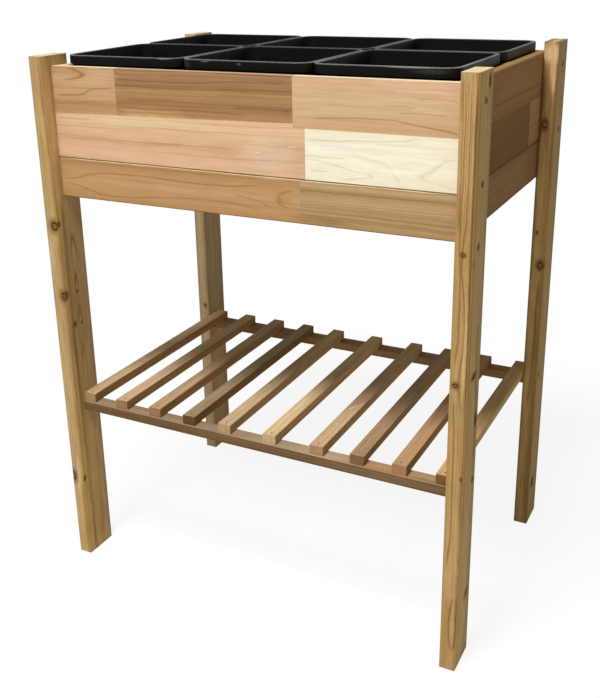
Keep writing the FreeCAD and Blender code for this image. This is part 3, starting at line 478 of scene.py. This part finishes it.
dress(cedar("cedar_rear_panel", "XZY", [
    dict(face=[(750, "D6AE86"), (775, "DAB48E"), (800, "D4AA82"), (826, "DCB690")], figure=(0.4, 4.0, 4.0)),
    dict(end=40, above=826, face=[(826, "B88E60"), (850, "C49B6B"), (875, "C8A072"), (897, "BE9466")],
         figure=(0.4, 3.0, 4.0)),
    dict(start=40, above=826, face=[(826, "A27A54"), (846, "B0885A"), (872, "9A7452"), (897, "A67E5A")],
         figure=(0.5, 3.0, 3.0)),
    dict(end=-150, below=826, face=[(750, "E4CAA2"), (785, "EBD3AE"), (826, "E6CCA6")],
         figure=(0.2, 4.0, 5.0)),
    dict(below=750.4, face=[(684, "AE8A5E"), (705, "BC9A6E"), (720, "B08E64"), (750, "B6946A")],
         figure=(0.4, 3.0, 3.0)),
    dict(start=-90, below=750.4, face=[(684, "BE9466"), (715, "C8A074"), (750, "BA9064")],
         figure=(0.3, 3.0, 4.0)),
], lines=[
    (8.0, 0.8, (-330, 838), (-200, 846), (-120, 860), (-190, 874), (-330, 884)),
    (7.0, 0.7, (-330, 850), (-240, 854), (-195, 861), (-240, 868), (-330, 872)),
    (1.4, 0.8, (45, 874), (150, 871), (250, 874), (342, 870)),
    (1.3, 0.6, (45, 852), (190, 855), (342, 851)),
    (8.0, 0.7, (-345, 765), (-270, 772), (-225, 784), (-265, 798), (-345, 806)),
    (1.5, 0.8, (-85, 712), (30, 726), (160, 730), (342, 724)),
    (1.5, 0.8, (-85, 700), (40, 694), (180, 700), (342, 696)),
    (1.3, 0.5, (-140, 788), (60, 785), (342, 790)),
], fuzz=0.07, board_edge="DCC09A"), "rear_upper_board", "rear_lower_board")
dress(cedar("cedar_left_panel", "YZX", [
    dict(face=[(750, "CEA87C"), (785, "D4AE84"), (825, "CCA478")], figure=(0.4, 3.0, 4.0)),
    dict(end=-40, above=825, face=[(825, "B48A5C"), (860, "C09666"), (897, "B88E60")],
         figure=(0.4, 3.0, 4.0)),
    dict(start=-40, above=825, face=[(825, "D6B286"), (860, "DEBC92"), (897, "D8B48A")],
         figure=(0.3, 3.0, 4.0)),
    dict(below=750.4, face=[(684, "AE8A5E"), (705, "BC9A6E"), (725, "B08E64"), (750, "B6946A")],
         figure=(0.4, 3.0, 3.0)),
], lines=[
    (8.0, 0.8, (-215, 840), (-150, 848), (-110, 861), (-150, 873), (-215, 882)),
    (1.4, 0.6, (-215, 786), (-40, 782), (215, 788)),
    (1.4, 0.6, (-40, 850), (80, 855), (215, 848)),
    (1.4, 0.6, (-215, 722), (0, 714), (215, 722)),
], fuzz=0.07, board_edge="DCC09A"), "left_upper_board", "left_lower_board")


# Shelf rails: two brown cedar strips laid flat between the legs, one in front and one behind. The slats are
# nailed to them from above, and the end slats are screwed to the legs.
dress(cedar("cedar_shelf_rails", "XYZ", [
    dict(face="8A765E", edge=[(289, "6A5236"), (296, "765D3F"), (303, "7A6042"), (306, "70573A")],
         figure=(0.5, 1.5, 3.0), end_grain="7A5C3E"),
    dict(above=0.0, face="987451", edge=[(289, "86643F"), (297, "9A7652"), (306, "8E6C4A")],
         figure=(0.5, 1.5, 3.0), end_grain="7A5C3E"),
], patches=[
    ("6C5134", 0.6, (-210, 298), (140, 14)), ("7E6548", 0.6, (230, 298), (130, 14)),
    ("958269", 1.0, (60, -220), (110, 40)), ("A48E74", 1.0, (140, -220), (60, 40)),
    ("9E7E5C", 1.0, (240, -220), (90, 40)),
], fuzz=0.12), "shelf_front_rail", "shelf_rear_rail")


# Shelf slats: ten planed strips nailed across the rails, ripped from whatever boards were over, so each
# has its own colour, from pale sapwood to grey brown. The tops have greyed, and the sides are browner.
SLAT_WOODS = [
    (-330, "B09474", "9B7047", "AB8763"), (-260, "B49679", "9D754A", "997653"),
    (-190, "A88C6F", "997249", "967755"), (-120, "907C62", "7C603B", "63482E"),
    (-50, "B69A79", "A9865B", "B3966E"), (35, "C2A680", "B68E5E", "C3A67D"),
    (120, "B69A78", "AA8858", "A58765"), (190, "9B7F60", "95784E", "7E6042"),
    # The end of the last slat is darkened by a painted shadow of the front right leg.
    (260, "A98562", "93734A", "A47B59"), (330, "BA9869", "B49764", "7B5932"),
]
dress(cedar("cedar_shelf_slats", "YXZ", [
    dict(above=middle - 32, face=top, edge=side, end_grain=end, figure=(0.5, 2.0, 3.0 + 0.4 * (middle % 3)))
    for middle, top, side, end in SLAT_WOODS
], patches=[
    # Most of these patches are painted light and painted shade: the paler rear halves stand for light under
    # the bed's shadow, and the paler and darker places just in front of the middle lie at that shadow's edge.
    ("D9B58C", 0.8, (110, -330), (150, 17)), ("E2C9A4", 0.6, (-78, 121), (20, 3), 0.5),
    ("CAA87A", 0.6, (70, -260), (110, 17)), ("C0A072", 0.6, (50, -190), (110, 17)),
    ("A89260", 0.6, (80, -120), (130, 17)), ("B69670", 0.6, (120, 190), (170, 17)),
    ("DAC097", 0.5, (-60, 35), (70, 16)), ("B89E6C", 0.9, (160, -50), (130, 17)),
    ("C4A676", 0.9, (160, 35), (120, 17)), ("B1926A", 0.9, (140, 120), (140, 17)),
    ("8C7455", 0.8, (-58, 190), (65, 17)), ("B09577", 0.9, (-58, -190), (65, 17)),
], fuzz=0.16, fibre_length=14), *[f"shelf_slat_{number:02d}" for number in range(1, 11)])


# Floor of the bed: two cleats screwed inside the lower boards and six slats nailed to them, in the same
# strips as the shelf. The pots stand on the slats and water drains between them.
dress(cedar("cedar_floor_cleats", "XYZ", [
    dict(face="B08D64", edge="A4825A", end_grain="9A7A54", figure=(0.5, 2.0, 3.0)),
], fuzz=0.11), "floor_front_cleat", "floor_rear_cleat")
dress(cedar("cedar_floor_slats", "YXZ", [
    dict(above=-400 + 110 * number, face=top, edge="A27E56", end_grain="A88864", figure=(0.5, 2.0, 3.4))
    for number, top in enumerate(("B89670", "A88662", "C2A078", "B08C64", "BC9A72", "AC8A60"))
], fuzz=0.11), *[f"floor_slat_{number}" for number in range(1, 7)])


# Pots: six square nursery pots moulded in black polypropylene, with a turned-down rim, tapered walls, a
# foot ring and four drain holes. They stand loose on the floor slats and lift out.
POT_PITCH = 0.2185
POT_RIM = 0.2175
POT_CORNER = 0.026
POT_TOP = 0.9138
POT_BASE = 0.7178
POT_WALL = 0.0018
POT_TAPER = 0.017
RIM_SKIRT = 0.014
RIM_ROUND = 0.0016
SKIRT_GAP = 0.0026
FOOT_WIDTH = 0.009
FOOT_HEIGHT = 0.003
BASE_THICK = 0.0024
BASE_ROUND = 0.005
DRAIN_RADIUS = 0.007
DRAIN_INSET = 0.034
DRAIN_DEPTH = 0.03
MOULDED_EDGE = 0.0006
SMOOTH_BELOW = math.radians(35)


def alone(piece=None):
    """Selects one object and makes it active, or leaves nothing selected."""
    bpy.ops.object.select_all(action="DESELECT")
    if piece:
        piece.select_set(True)
        bpy.context.view_layer.objects.active = piece


def copy_of(master):
    """A copy of an object, with a mesh of its own."""
    alone(master)
    bpy.ops.object.duplicate()
    return bpy.context.object


def faces_up(face):
    return face.normal.z > 0.9


def faces_down(face):
    return face.normal.z < -0.9


def pick(piece, faces=None, edges=None):
    """In edit mode, selects only the faces or edges that the test picks."""
    mesh = bmesh.from_edit_mesh(piece.data)
    bpy.ops.mesh.select_all(action="DESELECT")
    bpy.ops.mesh.select_mode(type="FACE" if faces else "EDGE")
    for face in mesh.faces if faces else []:
        face.select_set(faces(face))
    for edge in mesh.edges if edges else []:
        edge.select_set(edges(edge))
    bmesh.update_edit_mesh(piece.data)


def turns_at(edge, height):
    """Whether an edge at this height is the corner between a level face and a wall."""
    level = [faces_up(face) or faces_down(face) for face in edge.link_faces]
    return sorted(level) == [False, True] and all(abs(v.co.z - height) < 1e-5 for v in edge.verts)


def draw_out(rise, width=None, start=None, level=None):
    """Extrudes the selected face straight up or down, and scales its end to a new width."""
    bpy.ops.mesh.extrude_region_move(TRANSFORM_OT_translate={"value": (0, 0, rise)})
    if width:
        share = width / start
        bpy.ops.transform.resize(value=(share, share, 1), center_override=(0, 0, level))


def eased(width, segments, corner):
    """A modifier that eases the edges whose corner is sharper than so many degrees."""
    return "BEVEL", {"width": width, "segments": segments, "limit_method": "ANGLE",
                     "angle_limit": math.radians(corner)}


def finish_mesh(piece, *modifiers):
    """Applies modifiers, given as kind and settings, and shades the piece smooth up to an angle."""
    alone(piece)
    for kind, settings in modifiers:
        modifier = piece.modifiers.new(kind.title(), kind)
        for name, setting in settings.items():
            setattr(modifier, name, setting)
        bpy.ops.object.modifier_apply(modifier=modifier.name)
    bpy.ops.object.shade_smooth_by_angle(angle=SMOOTH_BELOW)


skirt_foot = POT_TOP - RIM_SKIRT
lip = POT_WALL + SKIRT_GAP + POT_WALL
wall_top = POT_RIM - 2 * (POT_WALL + SKIRT_GAP)
base_width = wall_top - 2 * POT_TAPER
inner_base = POT_BASE + FOOT_HEIGHT + BASE_THICK
alone()
bpy.ops.mesh.primitive_plane_add(size=POT_RIM, location=(0, 0, skirt_foot))
pot = bpy.context.object
bpy.ops.object.transform_apply()
bpy.ops.object.mode_set(mode="EDIT")
bpy.ops.mesh.bevel(offset=POT_CORNER, segments=10, affect="VERTICES")
bpy.ops.mesh.select_all(action="SELECT")
draw_out(RIM_SKIRT)
bpy.ops.mesh.select_all(action="SELECT")
bpy.ops.mesh.normals_make_consistent(inside=False)
pick(pot, faces=faces_up)
bpy.ops.mesh.inset(thickness=lip)
draw_out(inner_base - POT_TOP, base_width - 2 * POT_WALL, POT_RIM - 2 * lip, inner_base)
pick(pot, faces=faces_down)
bpy.ops.mesh.inset(thickness=POT_WALL)
draw_out(RIM_SKIRT - POT_WALL)
bpy.ops.mesh.inset(thickness=SKIRT_GAP)
draw_out(POT_BASE - POT_TOP + POT_WALL, base_width, wall_top, POT_BASE)
bpy.ops.mesh.inset(thickness=FOOT_WIDTH)
draw_out(FOOT_HEIGHT)
for height, rounding in ((POT_TOP, RIM_ROUND), (inner_base, BASE_ROUND)):
    pick(pot, edges=lambda edge: turns_at(edge, height))
    bpy.ops.mesh.bevel(offset=rounding, segments=4, affect="EDGES")
bpy.ops.object.mode_set(mode="OBJECT")
alone()
drain_reach = base_width / 2 - DRAIN_INSET
bpy.ops.mesh.primitive_cylinder_add(vertices=28, radius=DRAIN_RADIUS, depth=DRAIN_DEPTH,
                                    location=(drain_reach, drain_reach, inner_base))
drains = bpy.context.object
bpy.ops.object.transform_apply()
finish_mesh(drains, ("MIRROR", {"use_axis": (True, True, False)}))
finish_mesh(pot, ("BOOLEAN", {"object": drains, "operation": "DIFFERENCE"}), eased(MOULDED_EDGE, 2, 50))
bpy.data.objects.remove(drains)

# Black polypropylene with a fine moulded texture. The rims are worn and carry a painted highlight, most at
# the front and at the right, the upper skirts carry painted light, and the front skirts have rubbed marks,
# as place along the front and height, half sizes and strength. Sizes are in millimetres.
RUB_MARKS = [
    ((-134, 913.0), (14, 1.8), 0.9), ((-60, 911.2), (10, 1.2), 0.7), ((-2, 909.0), (5, 1.8), 0.6),
    ((-96, 906.0), (12, 9), 0.12), ((258, 913.0), (40, 1.8), 0.9), ((290, 908.5), (34, 4.5), 0.16),
]
CLOUD_SIZE = 35
RIM_PATCH_SIZE = 5
SPECKS_PER_MM = 0.9
half_pitch = POT_PITCH * 500
plastic, tree, shader = new_material("black_polypropylene")
place = add(tree, "TexCoord", output="Object")
place = add(tree, "VectorMath", {0: place, "Scale": 1000.0}, operation="SCALE")
axes = add(tree, "SeparateXYZ", {0: place}).node.outputs
cloud = add(tree, "TexNoise", {"Vector": place, "Scale": 1 / CLOUD_SIZE, "Detail": 3.0})
colour = add(tree, "Mix", {0: cloud, 6: linear("0A0A0A"), 7: linear("10100F")}, **COLOURS)

# A skirt faces away from the middle of its pot. Its upper part is painted lighter than the insides, and
# lighter and browner where it faces right: painted light.
highest = (half_pitch, 2 * half_pitch, 0.001)
middle = add(tree, "VectorMath", {0: place, 1: highest, 2: (-half_pitch, 0.0, 0.0)}, operation="WRAP")
middle = add(tree, "VectorMath", {0: middle, 1: (0.0, half_pitch, 0.0)}, operation="SUBTRACT")
normal = add(tree, "NewGeometry", output="Normal")
outward = add(tree, "VectorMath", {0: middle, 1: normal}, output="Value", operation="DOT_PRODUCT")
skirt = add(tree, "MapRange", {0: outward, 1: 10.0, 2: 30.0})
upper = add(tree, "MapRange", {0: axes["Z"], 1: 890.0, 2: 900.0})
skirt = add(tree, "Math", {0: skirt, 1: upper}, operation="MULTIPLY")
rightward = add(tree, "SeparateXYZ", {0: normal}).node.outputs["X"]
rightward = add(tree, "MapRange", {0: rightward, 1: 0.4, 2: 0.9})
painted_skirt_light = add(tree, "Mix", {0: rightward, 6: linear("131312"), 7: linear("221E12")}, **COLOURS)
colour = add(tree, "Mix", {0: skirt, 6: colour, 7: painted_skirt_light}, **COLOURS)
# The rims are lightened to grey: wear, and a painted highlight on the rounded lip, most at the front and
# right.
rim = add(tree, "MapRange", {0: axes["Z"], 1: 912.2, 2: 913.6})
rim_wear_and_highlight = add(tree, "MapRange", {0: axes["Y"], 1: -60.0, 2: -205.0, 3: 0.12, 4: 0.5})
right_side = add(tree, "MapRange", {0: axes["X"], 1: 60.0, 2: 240.0, 3: 0.0, 4: 0.2})
rim_wear_and_highlight = add(tree, "Math", {0: rim_wear_and_highlight, 1: right_side}, operation="ADD")
rim_patchiness = add(tree, "TexNoise", {"Vector": place, "Scale": 1 / RIM_PATCH_SIZE, "Detail": 4.0, "Roughness": 0.7})
rim_patchiness = add(tree, "MapRange", {0: rim_patchiness, 1: 0.3, 2: 0.7, 3: 0.7, 4: 1.3})
rim_wear_and_highlight = add(tree, "Math", {0: rim_wear_and_highlight, 1: rim_patchiness}, operation="MULTIPLY")
rim_wear_and_highlight = add(tree, "Math", {0: rim_wear_and_highlight, 1: rim}, operation="MULTIPLY")
colour = add(tree, "Mix", {0: rim_wear_and_highlight, 6: colour, 7: linear("7E7E7C")}, **COLOURS)
front = add(tree, "Math", {0: axes["Y"], 1: -POT_PITCH * 1000 + 8}, operation="LESS_THAN")
speck = add(tree, "TexNoise", {"Vector": place, "Scale": SPECKS_PER_MM, "Detail": 3.0, "Roughness": 0.7})
speck = add(tree, "MapRange", {0: speck, 1: 0.4, 2: 0.6})
for spot, half, strength in RUB_MARKS:
    reach = add(tree, "VectorMath", {0: place, 1: (spot[0], 0.0, spot[1])}, operation="SUBTRACT")
    reach = add(tree, "VectorMath", {0: reach, 1: (1 / half[0], 0.0, 1 / half[1])}, operation="MULTIPLY")
    reach = add(tree, "VectorMath", {0: reach}, output="Value", operation="LENGTH")
    rubbed = add(tree, "MapRange", {0: reach, 1: 0.4, 2: 1.0, 3: strength, 4: 0.0})
    rubbed = add(tree, "Math", {0: rubbed, 1: speck}, operation="MULTIPLY")
    rubbed = add(tree, "Math", {0: rubbed, 1: front}, operation="MULTIPLY")
    colour = add(tree, "Mix", {0: rubbed, 6: colour, 7: linear("8C8C88")}, **COLOURS)
tree.links.new(colour, shader.inputs["Base Color"])
matt = add(tree, "MapRange", {0: cloud, 1: 0.3, 2: 0.7, 3: 0.36, 4: 0.5})
tree.links.new(matt, shader.inputs["Roughness"])
shader.inputs["IOR"].default_value = 1.49
shader.inputs["Specular IOR Level"].default_value = 0.035
texture = add(tree, "TexNoise", {"Vector": place, "Scale": SPECKS_PER_MM, "Detail": 2.0})
texture = add(tree, "Bump", {"Strength": 0.25, "Distance": 0.0002, "Height": texture})
tree.links.new(texture, shader.inputs["Normal"])
pot.data.materials.append(plastic)

for row_name, row in (("front", -0.5), ("rear", 0.5)):
    for column_name, column in (("left", -1), ("middle", 0), ("right", 1)):
        shell = copy_of(pot)
        shell.name = f"pot_shell_{row_name}_{column_name}"
        bpy.ops.transform.translate(value=(column * POT_PITCH, row * POT_PITCH, 0))
        bpy.ops.object.transform_apply()
        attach(shell, f"{row_name}_{column_name}_pot")
        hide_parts(f"pot_{row_name}_{column_name}")
bpy.data.objects.remove(pot)


# Screws: countersunk wood screws of zinc-plated steel with a cross recess, driven a little below the
# wood through the legs, the side boards and the cleats.
SCREW_HEAD = 0.004
SCREW_SHANK = 0.002
SCREW_SINK = 0.0008
SCREW_RIM = 0.0004
SCREW_POINT = 0.005
POINT_SHARE = 0.12
SCREW_EDGE = 0.00012
RECESS = (0.0046, 0.0010, 0.0034)
RECESS_TAPER = 0.45
TURN_APART = 0.7


def countersunk_screw(length):
    """A screw with its head up at z = 0 less the sink, and its point down."""
    alone()
    bpy.ops.mesh.primitive_cylinder_add(vertices=32, radius=SCREW_HEAD, depth=SCREW_RIM,
                                        location=(0, 0, -SCREW_SINK - SCREW_RIM / 2))
    screw = bpy.context.object
    bpy.ops.object.transform_apply()
    bpy.ops.object.mode_set(mode="EDIT")
    pick(screw, faces=faces_down)
    neck = SCREW_HEAD - SCREW_SHANK
    draw_out(-neck, SCREW_SHANK, SCREW_HEAD, -SCREW_SINK - SCREW_RIM - neck)
    draw_out(-(length - SCREW_SINK - SCREW_RIM - neck - SCREW_POINT))
    draw_out(-SCREW_POINT, SCREW_SHANK * POINT_SHARE, SCREW_SHANK, -length)
    bpy.ops.object.mode_set(mode="OBJECT")
    for turn in (0, math.pi / 2):
        alone()
        bpy.ops.mesh.primitive_cube_add(size=1, location=(0, 0, -SCREW_SINK), rotation=(0, 0, turn))
        slot = bpy.context.object
        slot.scale = RECESS
        bpy.ops.object.transform_apply()
        bpy.ops.object.mode_set(mode="EDIT")
        pick(slot, faces=faces_down)
        bpy.ops.transform.resize(value=(RECESS_TAPER, RECESS_TAPER, 1), center_override=(0, 0, -SCREW_SINK))
        bpy.ops.object.mode_set(mode="OBJECT")
        finish_mesh(screw, ("BOOLEAN", {"object": slot, "operation": "DIFFERENCE"}))
        bpy.data.objects.remove(slot)
    finish_mesh(screw, eased(SCREW_EDGE, 2, 40))
    return screw


def set_out(master, name, places, material, node):
    """Copies a fastener to its places, each with a direction its head faces, as one piece for a CAD node."""
    copies = []
    for number, (place, facing) in enumerate(places):
        copy = copy_of(master)
        spin = Matrix.Rotation(TURN_APART * number, 4, "Z")
        turned = Vector(facing).to_track_quat("Z", "Y").to_matrix().to_4x4()
        copy.matrix_world = Matrix.Translation(place) @ turned @ spin
        bpy.ops.object.transform_apply()
        copies.append(copy)
    alone(copies[0])
    for copy in copies:
        copy.select_set(True)
    bpy.ops.object.join()
    piece = bpy.context.object
    piece.name = name
    piece.data.materials.clear()
    piece.data.materials.append(material)
    bpy.data.objects.remove(master)
    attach(piece, "bed")
    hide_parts(node)


def weathered_steel(name, blotches_per_mm, detail, dark, light, smoothest, roughest):
    """Steel with darker blotches that are also smoother."""
    material, tree, shader = new_material(name)
    place = add(tree, "TexCoord", output="Object")
    blotch = add(tree, "TexNoise", {"Vector": place, "Scale": 1000 * blotches_per_mm, "Detail": detail})
    colour = add(tree, "Mix", {0: blotch, 6: linear(dark), 7: linear(light)}, **COLOURS)
    tree.links.new(colour, shader.inputs["Base Color"])
    shader.inputs["Metallic"].default_value = 1.0
    rough = add(tree, "MapRange", {0: blotch, 3: smoothest, 4: roughest})
    tree.links.new(rough, shader.inputs["Roughness"])
    return material


# Zinc-plated steel, dulled by weather: brown grey with blotches a millimetre or two across.
zinc = weathered_steel("dull_zinc_steel", 0.6, 3.0, "3A2A12", "7A6440", 0.32, 0.6)

LEG_FACE = 0.36675
BOARD_MIDDLE = 0.2245
BOARD_SCREWS = (0.877, 0.767)
SLAT_SCREW_LINE = 0.2065
SLAT_MIDDLE = 0.31425
SIDE_FACE = 0.32575
SIDE_SCREW_LINE = 0.2040
LOWER_SIDE_SCREW = 0.7175
CLEAT_SCREW_SPAN = 0.26575
CLEAT_FACE = 0.1925
CLEAT_MIDDLE = 0.69275
CORNERS = [(side, end) for side in (-1, 1) for end in (-1, 1)]
set_out(countersunk_screw(0.050), "panel_screw_set", [
    ((side * LEG_FACE, end * BOARD_MIDDLE, high), (side, 0, 0))
    for side, end in CORNERS for high in BOARD_SCREWS
], zinc, "panel_screws")
set_out(countersunk_screw(0.038), "shelf_screw_set", [
    ((side * LEG_FACE, end * SLAT_SCREW_LINE, SLAT_MIDDLE), (side, 0, 0)) for side, end in CORNERS
], zinc, "shelf_screws")
set_out(countersunk_screw(0.029), "side_board_screw_set", [
    ((side * SIDE_FACE, end * SIDE_SCREW_LINE, high), (-side, 0, 0))
    for side, end in CORNERS for high in (*BOARD_SCREWS, LOWER_SIDE_SCREW)
], zinc, "side_board_screws")
set_out(countersunk_screw(0.034), "cleat_screw_set", [
    ((across * CLEAT_SCREW_SPAN, end * CLEAT_FACE, CLEAT_MIDDLE), (0, -end, 0))
    for end in (-1, 1) for across in (-1, -1 / 3, 1 / 3, 1)
], zinc, "cleat_screws")


# Nails: flat-headed wire nails of plain steel through the ends of the shelf and floor slats, hammered
# flush with the wood, one over each rail or cleat.
NAIL_LENGTH = 0.0275
NAIL_HEAD = 0.0015
NAIL_HEAD_THICK = 0.001
NAIL_SHANK = 0.0009
NAIL_POINT = 0.0009
NAIL_TIP = 0.0001
NAIL_EDGE = 0.00025


def flat_nail():
    """A nail with its head flush at z = 0."""
    alone()
    bpy.ops.mesh.primitive_cylinder_add(vertices=20, radius=NAIL_HEAD, depth=NAIL_HEAD_THICK,
                                        location=(0, 0, -NAIL_HEAD_THICK / 2))
    nail = bpy.context.object
    bpy.ops.object.transform_apply()
    bpy.ops.object.mode_set(mode="EDIT")
    pick(nail, faces=faces_down)
    bpy.ops.mesh.inset(thickness=NAIL_HEAD - NAIL_SHANK)
    draw_out(-(NAIL_LENGTH - NAIL_HEAD_THICK - NAIL_POINT))
    draw_out(-NAIL_POINT, NAIL_TIP, NAIL_SHANK, -NAIL_LENGTH)
    bpy.ops.object.mode_set(mode="OBJECT")
    finish_mesh(nail, eased(NAIL_EDGE, 3, 40))
    return nail


# Plain steel, darkened by damp wood: dull dots with blotches of about a millimetre.
steel = weathered_steel("dark_nail_steel", 0.9, 2.0, "3A3028", "6E6458", 0.4, 0.7)

SHELF_TOP = 0.3225
RAIL_MIDDLE = 0.2195
FLOOR_TOP = 0.7175
FLOOR_SLAT_REACH = 0.055
CLEAT_NAIL_LINE = 0.2045
set_out(flat_nail(), "shelf_nail_set", [
    ((slat[0] / 1000, end * RAIL_MIDDLE, SHELF_TOP), (0, 0, 1)) for slat in SLAT_WOODS for end in (-1, 1)
], steel, "shelf_slat_nails")
set_out(flat_nail(), "floor_nail_set", [
    ((column * POT_PITCH + side * FLOOR_SLAT_REACH, end * CLEAT_NAIL_LINE, FLOOR_TOP), (0, 0, 1))
    for column in (-1, 0, 1) for side, end in CORNERS
], steel, "floor_slat_nails")


# Floor and light: a plain white floor that keeps a faint shadow, an even white surround, and one soft
# high light from the front, a little to the left.
FLOOR_SIZE = 14
SHADOW_REACH = (0.7, 1.8)
SHADOW_SHARE = 0.12
SURROUND_LIGHT = (0.355, 0.362, 0.338, 1)
WHITE = (1, 1, 1, 1)
LAMP_PLACE = Vector((-0.10, -1.66, 3.64))
LAMP_AIM = Vector((0, 0, 0.45))
LAMP_SIZE = 1.1
LAMP_STRENGTH = 11.84


def in_view(tree):
    """Whether the eye meets this, straight, in a reflection or through glass."""
    path = add(tree, "LightPath").node.outputs
    seen = add(tree, "Math", {0: path["Is Camera Ray"], 1: path["Is Glossy Ray"]}, operation="MAXIMUM")
    return add(tree, "Math", {0: seen, 1: path["Is Transmission Ray"]}, operation="MAXIMUM")


alone()
bpy.ops.mesh.primitive_plane_add(size=FLOOR_SIZE, location=(0, 0, 0))
ground = bpy.context.object
ground.name = "studio_floor"
paper, tree, shader = new_material("white_paper_floor")
tree.nodes.remove(shader)
seen = in_view(tree)
away = add(tree, "TexCoord", output="Object")
away = add(tree, "VectorMath", {0: away}, output="Value", operation="LENGTH")
share = add(tree, "MapRange", {0: away, 1: SHADOW_REACH[0], 2: SHADOW_REACH[1], 3: SHADOW_SHARE, 4: 0.0})
glow = add(tree, "Emission", {"Color": WHITE, "Strength": 1.0})
lit = add(tree, "BsdfDiffuse", {"Color": (0.8, 0.8, 0.8, 1)})
white = add(tree, "MixShader", {0: share, 1: glow, 2: lit})
bounce = add(tree, "BsdfDiffuse", {"Color": (0.55, 0.54, 0.52, 1)})
surface = add(tree, "MixShader", {0: seen, 1: bounce, 2: white})
tree.links.new(surface, tree.nodes["Material Output"].inputs["Surface"])
ground.data.materials.append(paper)

world = bpy.data.worlds.new("white_surround")
bpy.context.scene.world = world
world.use_nodes = True
tree = world.node_tree
light = add(tree, "Mix", {0: in_view(tree), 6: SURROUND_LIGHT, 7: WHITE}, **COLOURS)
tree.links.new(light, tree.nodes["Background"].inputs["Color"])

bpy.ops.object.light_add(type="AREA", location=LAMP_PLACE)
lamp = bpy.context.object
lamp.data.shape = "DISK"
lamp.data.size = LAMP_SIZE
lamp.data.energy = 1.0
lamp.rotation_mode = "QUATERNION"
lamp.rotation_quaternion = (LAMP_PLACE - LAMP_AIM).to_track_quat("Z", "Y")
lamp.data.use_nodes = True
tree = lamp.data.node_tree
even = add(tree, "LightFalloff", {"Strength": LAMP_STRENGTH}, output="Constant")
tree.links.new(even, tree.nodes["Emission"].inputs["Strength"])


# Camera: in front and to the right, a little above the bed, as the object is usually shown. Its angles are
# in degrees, and its focal length and the middle of its lens are in pixels of the image.
IMAGE_WIDTH = 600
IMAGE_HEIGHT = 698
FOCAL_PIXELS = 943.0
AXIS_PIXEL = (291.4, 277.0)
CAMERA_PLACE = (0.70731, -1.41700, 1.05451)
CAMERA_ANGLES = (27.739, 18.743, -1.206)
camera_data = bpy.data.cameras.new("camera")
camera = bpy.data.objects.new("camera", camera_data)
bpy.context.scene.collection.objects.link(camera)
bpy.context.scene.camera = camera
camera_data.lens = FOCAL_PIXELS * camera_data.sensor_width / IMAGE_HEIGHT
camera_data.shift_x = (IMAGE_WIDTH / 2 - AXIS_PIXEL[0]) / IMAGE_HEIGHT
camera_data.shift_y = (AXIS_PIXEL[1] - IMAGE_HEIGHT / 2) / IMAGE_HEIGHT
azimuth, elevation, roll = (math.radians(angle) for angle in CAMERA_ANGLES)
back = Vector((math.sin(azimuth) * math.cos(elevation), -math.cos(azimuth) * math.cos(elevation),
               math.sin(elevation)))
right = Vector((0, 0, 1)).cross(back).normalized()
up = back.cross(right)
tilted_right = math.cos(roll) * right + math.sin(roll) * up
tilted_up = math.cos(roll) * up - math.sin(roll) * right
turned = Matrix((tilted_right, tilted_up, back)).transposed().to_4x4()
camera.matrix_world = Matrix.Translation(CAMERA_PLACE) @ turned

bpy.context.scene.view_settings.view_transform = "Standard"
